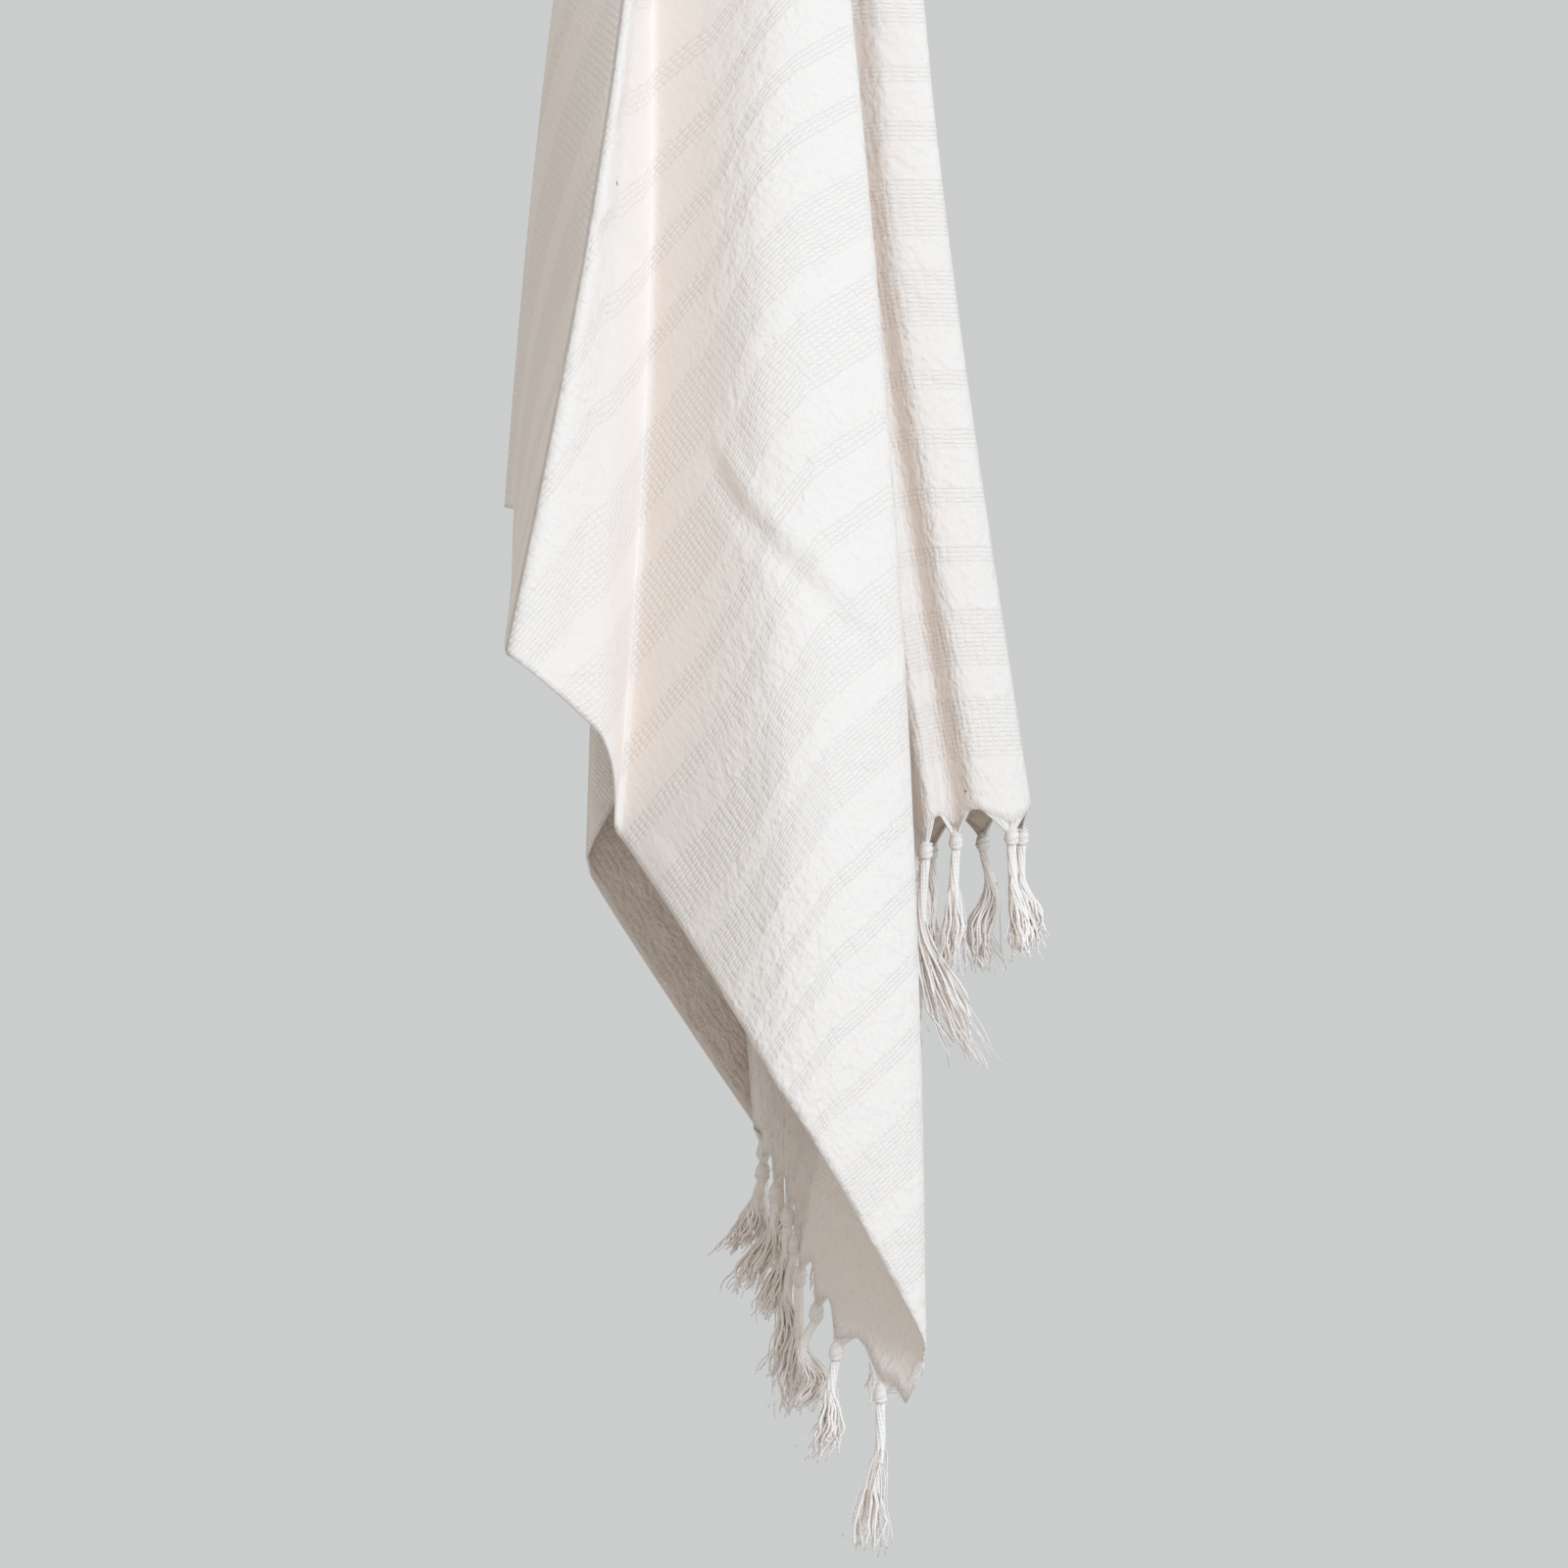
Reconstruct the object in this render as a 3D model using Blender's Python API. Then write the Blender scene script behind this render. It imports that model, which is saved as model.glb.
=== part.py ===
"""Hammam towel hanging from one point, with knotted tassels along both short ends.

The towel is one woven sheet. It hangs from a point inside the sheet, so each straight line that
is drawn on the flat cloth from that point runs down the drape like a rib of an umbrella. Such a
line is named by its direction phi on the flat cloth: 0 degrees runs along the warp towards the
long end, +90 degrees runs across it to selvedge A. The fold tables give the place of each fold
seen from above, at four depths below the hook, and the cloth runs smoothly from fold to fold.

Axes: +Z up, +X to the right and -Y towards a viewer of the front. The origin is the hook's point.
"""

import math
from collections import namedtuple

import bpy
import bmesh
import numpy as np

# --- the flat cloth, in metres --------------------------------------------------------------
FLAT_WIDTH = 1.000
FLAT_LENGTH = 1.625
HOOK_TO_SHORT_END = 0.730
HOOK_TO_LONG_END = FLAT_LENGTH - HOOK_TO_SHORT_END
HOOK_TO_SELVEDGE_A = 0.550
HOOK_TO_SELVEDGE_B = FLAT_WIDTH - HOOK_TO_SELVEDGE_A
THICKNESS = 0.0012
TASSELS_PER_END = 22
TASSEL_PITCH = FLAT_WIDTH / TASSELS_PER_END
SCALLOP_DEPTH = 0.009            # how far the hem rises between two tassels

# --- the drape ------------------------------------------------------------------------------
DEPTHS = (0.25, 0.50, 0.75, 1.00)      # the depths at which the fold tables are given
NECK_EASE = 0.20                       # the depth over which the bundle opens out of the neck
BUNDLE_LEAN = 0.10                     # the hook stands over the middle of the bundle
DOME_RADIUS = 0.004                    # rounding of the cloth over the hook's tip
NECK_TOP = 0.030                       # above this depth the neck is round
NECK_POINTS = 720                      # places round the bundle where it closes to the neck
NECK_PASSES = 8000                     # how often its folds are eased until they are gone
NECK_HASTE = 2.5                       # 1 eases them evenly, more eases them mostly near the top
NECK_DRIFT = 1 / 1500                  # how much the columns spread with each easing
NECK_DEPTHS = (0.010, 0.030, 0.060, 0.100, 0.140, 0.180, 0.215, 0.235, 0.250, 0.300)
BODY_ROWS = 6
SAMPLES_PER_FOLD = 24
LEG_SHARES = (0.0, 0.14, 0.50, 0.86)   # where columns stand on the way from fold to fold
FOLD_ROUNDNESS = 0.36                  # least reach of a fold's bend, as a share of its leg

# --- tassels --------------------------------------------------------------------------------
TASSEL_SIDES = 5
TASSEL_LENGTH = 0.086
TASSEL_GAP = 0.0012
STEEP_HEM = 1.3                  # a hem that is this much steeper than 50 degrees
TASSEL_ASIDE = 0.0055            # is passed by its tassel on one side, at this distance
NECK_RADIUS = 0.0024
KNOT_RADIUS = 0.0042
HEAD_RADIUS = 0.0034             # below the knot, where the strands part
STRAND_INSET = 0.0003            # how far a strand's root stays from the edges of its face
KNOT_DEPTH = 0.0100
STRAND_TOP = 0.0150
STRAND_TURN = math.radians(50)
STRAND_UNEVEN = 0.004
SQUEEZED = 0.68                  # how much slimmer a tassel is between two layers of cloth
OPEN_TASSELS = ("short_08", "short_09", "short_10", "short_11", "short_12", "long_13", "long_15",
                "long_17", "long_20", "long_21", "long_22")
# How far down a strand bends, its distance from the middle line there, its own radius, and the
# share of the turn that it has made
STRAND_STOPS = ((0.45, 0.0029, 0.0011, 0.0), (1.00, 0.0046, 0.0008, 1.0))

CREAM = (0.86, 0.82, 0.75, 1.0)
YARN = (0.88, 0.84, 0.77, 1.0)

Fold = namedtuple("Fold", "name phi soft x y")

# A row for each fold: its direction phi in degrees, how round it is (0 is a sharp crease), and
# its place in millimetres at the four depths, seen from above.
FRONT_FOLDS = (
    #    name            phi     soft    x at each depth         y at each depth
    Fold("front ridge", 59.60, 0.7, (-62, -100, -151, -200), (-45, -80, -112, -130)),
    Fold("flank bend", 54.00, 1.0, (-55, -73, -79, -86), (-24, -43, -50, -56)),
    Fold("front valley", 48.40, 0.3, (-49, -52, -70, -100), (0, 0, 4, 10)),
    Fold("second ridge", 39.00, 1.0, (20, 12, 24, 0), (-26, -44, -50, -44)),
    Fold("right fold", 32.80, 0.8, (57, 78, 93, 101), (-8, -12, -10, 0)),
    Fold("flap bend", 28.00, 1.0, (52, 71, 83, 54), (8, 18, 32, 50)),
    Fold("flap end", 23.50, 0.9, (38, 50, 58, 26), (20, 46, 72, 90)),
)
LEFT_ARM_FOLDS = (
    Fold("arm start", -27.50, 0.9, (6, 4, 24, 64), (48, 100, 148, 198)),
    Fold("arm fold", -36.60, 0.9, (-36, -75, -87, -95), (38, 72, 90, 100)),
    Fold("arm tuck", -44.00, 0.8, (-56, -36, -22, -30), (28, 48, 60, 70)),
    Fold("arm return", -54.00, 1.0, (-76, -90, -100, -110), (30, 28, 36, 50)),
)
RIGHT_LAYER_FOLDS = (
    Fold("right inner ridge", -171.50, 1.0, (45, 66, 104, 116), (56, 94, 138, 180)),
    Fold("right trough", -174.60, 1.0, (60, 84, 121, 140), (60, 99, 142, 182)),
    Fold("right ridge", -177.30, 1.0, (77, 101, 140, 165), (52, 88, 130, 170)),
    Fold("right silhouette", -180.00, 0.9, (101, 130, 168, 200), (62, 106, 152, 190)),
    Fold("right back", -184.50, 1.0, (84, 112, 149, 174), (84, 140, 190, 225)),
    Fold("right back fold", -189.00, 0.9, (62, 88, 110, 134), (98, 176, 226, 256)),
)
LEFT_FLANK_FOLDS = (
    Fold("rear left fold", -272.00, 0.9, (-104, -131, -148, -165), (78, 132, 170, 200)),
    Fold("left tuck", -280.00, 1.0, (-95, -112, -128, -140), (34, 74, 90, 100)),
    Fold("left fold", -287.00, 0.9, (-101, -124, -131, -140), (6, 12, 20, 30)),
)

# Folds behind the front, which go to and fro. The flap's folds turn at the left on two lines of
# their own and at the right on one. The inner layer's folds turn between a near and a far line,
# and the back layer's folds lie in them, as much further back as the offset says.
FLAP_PLEATS = 4
FLAP_LAST_PHI = -22.0
FLAP_PLEAT_LEFT = ((27, 2, 4, 19), (27, -8, -4, 14))
FLAP_PLEAT_RIGHT = (30, 62, 84, 93)
INNER_PLEATS = 5
PLEAT_LEFT = (-70, -88, -70, 6)
PLEAT_RIGHT = (45, 66, 98, 112)
PLEAT_NEAR = (56, 106, 150, 190)
PLEAT_FAR = (88, 186, 240, 262)
BACK_OFFSET = (20, 24, 36, 44)
BACK_SHIFT = (0, 0, -5, -7)
PLEAT_UNEVEN = 0.16              # how much the depth of the pleats varies


def closing(depth):
    """Size of the bundle above the first fold station, as a share of its size there."""
    return (1 - math.exp(-depth / NECK_EASE)) / (1 - math.exp(-DEPTHS[0] / NECK_EASE))


def fold_at(fold, depth):
    """Place of a fold seen from above, in metres, on the cubic through its four table places."""
    x = y = 0.0
    for k, station in enumerate(DEPTHS):
        weight = math.prod((depth - d) / (station - d) for d in DEPTHS if d != station)
        x += fold.x[k] * weight
        y += fold.y[k] * weight
    return x / 1000, y / 1000 - BUNDLE_LEAN * depth


def mixed(first, second, share):
    """Row of values between two rows of a table."""
    return tuple(a + (b - a) * share for a, b in zip(first, second))


def flap_pleats():
    """Folds of the cloth behind the flap, which turn to and fro between left and right lines."""
    start, end = FRONT_FOLDS[-1], LEFT_ARM_FOLDS[0]
    folds = []
    for k in range(1, FLAP_PLEATS + 1):
        share = k / (FLAP_PLEATS + 1)
        side = FLAP_PLEAT_LEFT[k // 2] if k % 2 else FLAP_PLEAT_RIGHT
        phi = start.phi + (FLAP_LAST_PHI - start.phi) * k / FLAP_PLEATS
        folds.append(Fold("flap pleat %d" % k, phi, 0.9, side, mixed(start.y, end.y, share)))
    return folds


def pleat_place(k):
    """Table rows x and y of the inner layer's turn k: even turns are near, odd ones far."""
    x = mixed(PLEAT_LEFT, PLEAT_RIGHT, k / (INNER_PLEATS + 1))
    short = PLEAT_UNEVEN * (1 + math.sin(2.3 * k)) / 2
    if k % 2:
        return x, mixed(PLEAT_FAR, PLEAT_NEAR, short)
    return x, mixed(PLEAT_NEAR, PLEAT_FAR, short)


def inner_pleats(start, end):
    """Folds of the hidden layer that runs from the left arm to the right layer."""
    folds = []
    for k in range(1, INNER_PLEATS + 1):
        x, y = pleat_place(k)
        phi = start.phi + (end.phi - start.phi) * k / (INNER_PLEATS + 1)
        folds.append(Fold("inner pleat %d" % k, phi, 0.9, x, y))
    return folds


def back_pleats(start, end):
    """Folds of the back of the bundle, which lie in those of the inner layer."""
    count = INNER_PLEATS + 3
    folds = []
    for k in range(1, count + 1):
        x, y = pleat_place(count - 1 - k)
        phi = start.phi + (end.phi - start.phi) * k / (count + 1)
        x = tuple(a + b for a, b in zip(x, BACK_SHIFT))
        y = tuple(a + b for a, b in zip(y, BACK_OFFSET))
        folds.append(Fold("back pleat %d" % k, phi, 0.9, x, y))
    return folds


def all_folds():
    """The closed ring of folds, in order of falling phi, seen from above anticlockwise."""
    near = mixed(LEFT_ARM_FOLDS[1].y, PLEAT_NEAR, 0.8)
    wrap = Fold("arm wrap", -62.0, 1.0, PLEAT_LEFT, near)
    ring = list(FRONT_FOLDS) + flap_pleats() + list(LEFT_ARM_FOLDS) + [wrap]
    ring += inner_pleats(wrap, RIGHT_LAYER_FOLDS[0]) + list(RIGHT_LAYER_FOLDS)
    ring += back_pleats(RIGHT_LAYER_FOLDS[-1], LEFT_FLANK_FOLDS[0]) + list(LEFT_FLANK_FOLDS)
    return ring


def ring_at(folds, phis, depth):
    """Places (x, y) at one depth of the directions phis, along the curve through the folds."""
    points = np.array([fold_at(fold, depth) for fold in folds])
    soft = np.array([fold.soft for fold in folds])[:, None]
    before, after = np.roll(points, 1, axis=0), np.roll(points, -1, axis=0)
    chord = np.linalg.norm(after - before, axis=1)[:, None] + 1e-9
    leg = np.minimum(np.linalg.norm(after - points, axis=1),
                     np.linalg.norm(points - before, axis=1))[:, None]
    tangents = (after - before) / chord * np.maximum(chord / 2, leg * FOLD_ROUNDNESS) * soft
    t = np.linspace(0, 1, SAMPLES_PER_FOLD)[:, None]
    placed = np.zeros((len(phis), 2))
    for k, fold in enumerate(folds):
        n = (k + 1) % len(folds)
        end_phi = folds[n].phi if n else folds[0].phi - 360
        curve = ((2 * t ** 3 - 3 * t ** 2 + 1) * points[k] + (t ** 3 - 2 * t ** 2 + t) * tangents[k]
                 + (-2 * t ** 3 + 3 * t ** 2) * points[n] + (t ** 3 - t ** 2) * tangents[n])
        run = np.concatenate([[0], np.cumsum(np.linalg.norm(np.diff(curve, axis=0), axis=1))])
        here = (phis <= fold.phi) & (phis > end_phi)
        share = (fold.phi - phis[here]) / (fold.phi - end_phi) * run[-1]
        placed[here, 0] = np.interp(share, run, curve[:, 0])
        placed[here, 1] = np.interp(share, run, curve[:, 1])
    return placed


def way_round(ring):
    """Distance along a closed ring to each of its places, and at last back to the first."""
    closed = np.vstack([ring, ring[:1]])
    return np.concatenate([[0], np.cumsum(np.linalg.norm(np.diff(closed, axis=0), axis=1))])


def along_ring(ring, marks, steps):
    """Places on a closed ring, where marks are given for its own places and sought at steps."""
    closed = np.vstack([ring, ring[:1]])
    return np.column_stack([np.interp(steps, marks, closed[:, k]) for k in (0, 1)])


def neck_rings(folds, phis, depths):
    """Places of the columns at depths above the first fold station, the deepest first.

    Towards the hook the folds are eased, the narrowest first, until the neck is round. The
    columns keep to the folds at first and drift to an even spread round the neck.
    """
    fine = np.linspace(folds[0].phi, folds[0].phi - 360, 4 * NECK_POINTS, endpoint=False)
    ring = ring_at(folds, fine, DEPTHS[0]) + np.array([0.0, BUNDLE_LEAN * DEPTHS[0]])
    run = way_round(ring)
    even = np.linspace(0, 1, NECK_POINTS, endpoint=False)
    spread = np.interp(-phis, -fine, run[:-1] / run[-1])
    share, done, rings = spread, 0, []
    ring = along_ring(ring, run / run[-1], even)
    for depth in depths:
        eased = min((DEPTHS[0] - depth) / (DEPTHS[0] - NECK_TOP), 1) ** NECK_HASTE
        while done < NECK_PASSES * eased:
            ring = (2 * ring + np.roll(ring, 1, axis=0) + np.roll(ring, -1, axis=0)) / 4
            run = way_round(ring)
            share = np.interp(share, np.append(even, 1.0), run / run[-1])
            share = share + (spread - share) * NECK_DRIFT
            ring = along_ring(ring, run / run[-1], even)
            done += 1
        here = along_ring(ring, np.append(even, 1.0), share) - ring.mean(axis=0) * eased
        rings.append(here * closing(depth) - np.array([0.0, BUNDLE_LEAN]) * depth)
    return rings


def drop(depth):
    """Height of a point that lies this far from the hook along the cloth."""
    return -(math.hypot(depth, DOME_RADIUS) - DOME_RADIUS)


def tassel_offsets():
    """Distances of the tassels across the cloth, from the hook's warp thread towards A."""
    first = -HOOK_TO_SELVEDGE_B + TASSEL_PITCH / 2
    return [first + k * TASSEL_PITCH for k in range(TASSELS_PER_END)]


def hem_rise(offset):
    """How much the scalloped hem rises at this distance across the cloth."""
    turns = (offset + HOOK_TO_SELVEDGE_B) / TASSEL_PITCH
    return SCALLOP_DEPTH * math.cos(math.pi * turns) ** 2


def outline_column(warp, weft):
    """Direction and length of the line from the hook to a point of the flat outline."""
    phi = math.degrees(math.atan2(weft, warp))
    if phi > FRONT_FOLDS[0].phi:
        phi -= 360
    return phi, math.hypot(warp, weft)


def hem_columns():
    """Columns that end on the two scalloped hems: at each tassel, and between two tassels."""
    columns = []
    for end in (HOOK_TO_LONG_END, -HOOK_TO_SHORT_END):
        for k in range(2 * TASSELS_PER_END + 1):
            weft = -HOOK_TO_SELVEDGE_B + k * TASSEL_PITCH / 2
            corner = k in (0, 2 * TASSELS_PER_END)
            rise = 0.0 if corner else hem_rise(weft)
            columns.append(outline_column(end - math.copysign(rise, end), weft))
    return columns


def selvedge_columns(folds):
    """Columns that end on the selvedges: at each fold, and evenly between two folds."""
    columns = []
    for k, fold in enumerate(folds):
        end_phi = folds[k + 1].phi if k + 1 < len(folds) else folds[0].phi - 360
        for share in LEG_SHARES:
            phi = fold.phi + (end_phi - fold.phi) * share
            turn = math.radians(phi)
            side = HOOK_TO_SELVEDGE_A if math.sin(turn) > 0 else -HOOK_TO_SELVEDGE_B
            length = side / math.sin(turn) if abs(math.sin(turn)) > 0.3 else 9.0
            warp = length * math.cos(turn)
            if -HOOK_TO_SHORT_END + 0.004 < warp < HOOK_TO_LONG_END - 0.004:
                columns.append((phi, length))
    return columns


def cloth_grid(folds):
    """Corner points of the draped cloth, a row for each step down and a column for each phi."""
    columns = sorted(hem_columns() + selvedge_columns(folds), reverse=True)
    phis = np.array([phi for phi, _ in columns])
    reach = np.array([length for _, length in columns])
    neck = np.linspace(0.0, DEPTHS[0], 26)
    body = np.linspace(DEPTHS[0] + 0.01, 1.08, 83)
    rings = neck_rings(folds, phis, neck[::-1])[::-1]
    rings = np.array(rings + [ring_at(folds, phis, depth) for depth in body])
    stations = np.concatenate([neck, body])
    steps = [np.full(len(phis), depth) for depth in NECK_DEPTHS]
    last = NECK_DEPTHS[-1]
    steps += [last + (reach - last) * (k + 1) / BODY_ROWS for k in range(BODY_ROWS)]
    grid = np.zeros((len(steps), len(phis), 3))
    for row, depths in enumerate(steps):
        for col, depth in enumerate(depths):
            grid[row, col, 0] = np.interp(depth, stations, rings[:, col, 0])
            grid[row, col, 1] = np.interp(depth, stations, rings[:, col, 1])
            grid[row, col, 2] = drop(depth)
    return grid


def grid_faces(rows, columns):
    """Triangles of the grid, which closes round the hook, with the hook's point as index 0."""
    faces = []
    for col in range(columns):
        right = (col + 1) % columns
        faces.append((0, 1 + col, 1 + right))
        for row in range(rows - 1):
            a = 1 + row * columns + col
            b = 1 + row * columns + right
            c, d = b + columns, a + columns
            faces += [(a, d, c), (a, c, b)]
    return faces


def point_normals(points, faces):
    """Unit normals at the points, as the mean of the faces round each."""
    corners = points[np.array(faces)]
    cross = np.cross(corners[:, 1] - corners[:, 0], corners[:, 2] - corners[:, 0])
    normals = np.zeros_like(points)
    for k in range(3):
        np.add.at(normals, np.array(faces)[:, k], cross)
    return normals / np.linalg.norm(normals, axis=1)[:, None]


def material(name, colour, roughness):
    """Plain cotton finish."""
    made = bpy.data.materials.new(name)
    made.use_nodes = True
    shader = made.node_tree.nodes["Principled BSDF"]
    shader.inputs["Base Color"].default_value = colour
    shader.inputs["Roughness"].default_value = roughness
    shader.inputs["Metallic"].default_value = 0.0
    return made


def add_object(name, mesh, finish):
    """Puts a mesh into the scene with its material."""
    mesh.materials.append(finish)
    made = bpy.data.objects.new(name, mesh)
    bpy.context.scene.collection.objects.link(made)
    return made


def build_cloth(folds):
    """The whole sheet, its outer and inner side THICKNESS apart."""
    grid = cloth_grid(folds)
    rows, columns = grid.shape[:2]
    points = np.vstack([np.zeros((1, 3)), grid.reshape(-1, 3)])
    faces = grid_faces(rows, columns)
    normals = point_normals(points, faces)
    count = len(points)
    both = np.vstack([points + normals * THICKNESS / 2, points - normals * THICKNESS / 2])
    solid = list(faces) + [(c + count, b + count, a + count) for a, b, c in faces]
    rim = 1 + (rows - 1) * columns
    for col in range(columns):
        a, b = rim + col, rim + (col + 1) % columns
        solid += [(b, a, a + count), (b, a + count, b + count)]
    mesh = bpy.data.meshes.new("towel_cloth")
    mesh.from_pydata([tuple(p) for p in both], [], solid)
    mesh.validate()
    mesh.shade_smooth()
    return add_object("towel_cloth", mesh, material("cotton_cloth", CREAM, 0.92))


def hem_point(folds, warp, weft):
    """Place of a point of the flat cloth on the drape."""
    phi, depth = outline_column(warp, weft)
    x, y = ring_at(folds, np.array([phi]), depth)[0]
    return np.array([x, y, drop(depth)])


def tassel_ring(centre, radius, turn, slope):
    """Corner points round a tassel's middle line, on a plane that rises along slope."""
    ring = []
    for k in range(TASSEL_SIDES):
        angle = turn + 2 * math.pi * k / TASSEL_SIDES
        x, y = radius * math.cos(angle), radius * math.sin(angle)
        ring.append((centre[0] + x, centre[1] + y, centre[2] + slope[0] * x + slope[1] * y))
    return ring


def extruded(bm, face, centre, radius):
    """Extrudes one face to a new middle point and radius, and returns the new face."""
    made = bmesh.ops.extrude_discrete_faces(bm, faces=[face])["faces"][0]
    middle = made.calc_center_median()
    for vert in made.verts:
        angle = math.atan2(vert.co.y - middle.y, vert.co.x - middle.x)
        vert.co = (centre[0] + radius * math.cos(angle), centre[1] + radius * math.sin(angle),
                   centre[2])
    return made


def build_tassel(name, root, slope, width, finish):
    """A knot below the hem with a strand for each of its sides, turned and frayed."""
    bm = bmesh.new()
    levels = ((0.0, NECK_RADIUS, slope), (KNOT_DEPTH, KNOT_RADIUS * (1 + width) / 2, (0, 0)),
              (STRAND_TOP, HEAD_RADIUS * (1 + width) / 2, (0, 0)))
    rings = []
    for depth, radius, tilt in levels:
        centre = (root[0], root[1], root[2] - depth)
        rings.append([bm.verts.new(p) for p in tassel_ring(centre, radius, 0.0, tilt)])
    bm.faces.new(rings[0])
    for upper, lower in zip(rings, rings[1:]):
        for k in range(TASSEL_SIDES):
            n = (k + 1) % TASSEL_SIDES
            bm.faces.new((upper[k], lower[k], lower[n], upper[n]))
    middle = bm.verts.new((root[0], root[1], root[2] - STRAND_TOP))
    roots = [bm.faces.new((middle, rings[2][(k + 1) % TASSEL_SIDES], rings[2][k]))
             for k in range(TASSEL_SIDES)]
    bm.normal_update()
    bmesh.ops.inset_individual(bm, faces=roots, thickness=STRAND_INSET, depth=STRAND_INSET)
    for k, face in enumerate(roots):
        strand(bm, face, k, root, width)
    bmesh.ops.triangulate(bm, faces=bm.faces[:])
    mesh = bpy.data.meshes.new(name)
    bm.to_mesh(mesh)
    bm.free()
    return add_object(name, mesh, finish)


def strand(bm, face, number, root, width):
    """One three-sided strand, from its root in the knot to its frayed tip."""
    start = (number + 0.5) * 2 * math.pi / TASSEL_SIDES
    for share, spread, thick, turned in STRAND_STOPS:
        angle = start + STRAND_TURN * turned
        depth = STRAND_TOP + (TASSEL_LENGTH - STRAND_TOP) * share
        depth += STRAND_UNEVEN * math.sin(2.1 * number) * share
        centre = (root[0] + width * spread * math.cos(angle),
                  root[1] + width * spread * math.sin(angle), root[2] - depth)
        face = extruded(bm, face, centre, thick * (1 + width) / 2)


def build_tassels(folds):
    """A tassel below each point of the two scalloped hems."""
    finish = material("cotton_yarn", YARN, 0.95)
    ends = (("short", -HOOK_TO_SHORT_END), ("long", HOOK_TO_LONG_END))
    for label, end in ends:
        for number, weft in enumerate(tassel_offsets(), start=1):
            here = hem_point(folds, end, weft)
            along = hem_point(folds, end, weft + 0.004) - hem_point(folds, end, weft - 0.004)
            flat = along[:2]
            slope = flat * along[2] / max(float(flat @ flat), 1e-9)
            steep = max(1.0, float(np.linalg.norm(slope)) / 1.2)
            drop_below = TASSEL_GAP + NECK_RADIUS * float(np.linalg.norm(slope)) * (1 - 1 / steep)
            root = here - np.array([0, 0, drop_below])
            if steep > STEEP_HEM:
                root[:2] += np.array([-flat[1], flat[0]]) / np.linalg.norm(flat) * TASSEL_ASIDE
            place = "%s_%02d" % (label, number)
            width = 1.0 if place in OPEN_TASSELS else SQUEEZED
            build_tassel("tassel_" + place, root, slope / steep, width, finish)


def main():
    """Clears the scene and builds the towel."""
    for old in list(bpy.data.objects):
        bpy.data.objects.remove(old, do_unlink=True)
    folds = all_folds()
    build_cloth(folds)
    build_tassels(folds)


main()
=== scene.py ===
"""Cream hammam towel that hangs from one point, woven in bands, with knotted tassels at both ends.

The towel is one sheet. Each straight line drawn on the flat cloth from the hanging point runs down
the drape like a rib of an umbrella, and is named by its direction phi on the flat cloth: 0 degrees
runs along the warp to the long end, +90 degrees across it to selvedge A. The fold tables say where
each fold stands, seen from above, at four depths below the hanging point.
"""

import logging
import math
from collections.abc import Sequence
from dataclasses import dataclass, field
from enum import Enum
from typing import NamedTuple

import bpy
import numpy as np
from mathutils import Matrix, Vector


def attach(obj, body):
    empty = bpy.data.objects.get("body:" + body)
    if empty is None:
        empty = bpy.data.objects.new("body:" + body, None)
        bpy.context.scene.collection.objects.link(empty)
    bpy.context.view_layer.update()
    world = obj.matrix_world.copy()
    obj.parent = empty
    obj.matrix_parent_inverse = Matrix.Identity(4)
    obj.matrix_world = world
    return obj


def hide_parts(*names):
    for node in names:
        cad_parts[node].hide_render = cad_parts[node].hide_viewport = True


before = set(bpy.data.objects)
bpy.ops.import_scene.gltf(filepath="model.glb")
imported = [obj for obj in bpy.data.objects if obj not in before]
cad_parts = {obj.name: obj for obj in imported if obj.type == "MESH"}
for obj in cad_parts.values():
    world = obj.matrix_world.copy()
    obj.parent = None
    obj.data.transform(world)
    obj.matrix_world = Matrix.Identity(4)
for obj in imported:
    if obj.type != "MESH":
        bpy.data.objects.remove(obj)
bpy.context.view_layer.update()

LOG = logging.getLogger("towel")

Array = np.ndarray
Colour = tuple[float, float, float, float]
Value = bpy.types.NodeSocket | tuple[float, ...] | float
Place = tuple[Value, Value]

FLAT_MAP = "flat"
CRINKLE = "crinkle"
MM = 1000

# Guards against a division by nothing: the least sine of an angle that is divided by, and what is
# added to a distance and to a vector's length.
LEAST_SINE = 1e-6
LEAST_GAP = 1e-9
LEAST_NORM = 1e-12


class End(Enum):
    """The towel's two fringed ends."""

    SHORT = "short"
    LONG = "long"


class Fold(NamedTuple):
    """One fold line: its direction, how round it is, and its place in mm at the four depths."""

    name: str
    phi: float
    soft: float
    x: tuple[float, ...]
    y: tuple[float, ...]


class Span(NamedTuple):
    """A stretch of directions and how many mesh columns it gets for each degree."""

    start: float
    end: float
    per_degree: float


class Crease(NamedTuple):
    """A soft ridge (height above 0) or trough that is pressed into the cloth.

    Its points are (x, z) in mm, as seen from the front. Width and height are in mm, and the two
    directions bound the layer it is on.
    """

    name: str
    points: tuple[tuple[float, float], ...]
    width: float
    height: float
    first_phi: float
    last_phi: float


class Crinkle(NamedTuple):
    """How strongly the cloth is crinkled at one direction, 0 to 1."""

    phi: float
    share: float


class BandLift(NamedTuple):
    """How far the bands are drawn up towards the hanging point at one direction, in mm.

    High is for bands near the hanging point, low for bands near the long end.
    """

    phi: float
    high: float
    low: float


class TasselPose(NamedTuple):
    """How one tassel hangs.

    The tip's offset, the length and the frayed part's half width are in mm. Twisted is the share of
    the length that stays twisted, and late tells how late on its way down it turns aside.
    """

    tip_x: float
    tip_y: float
    length: float
    flare: float
    twisted: float
    late: float = 1.5


DEPTHS = (0.25, 0.50, 0.75, 1.00)

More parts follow.
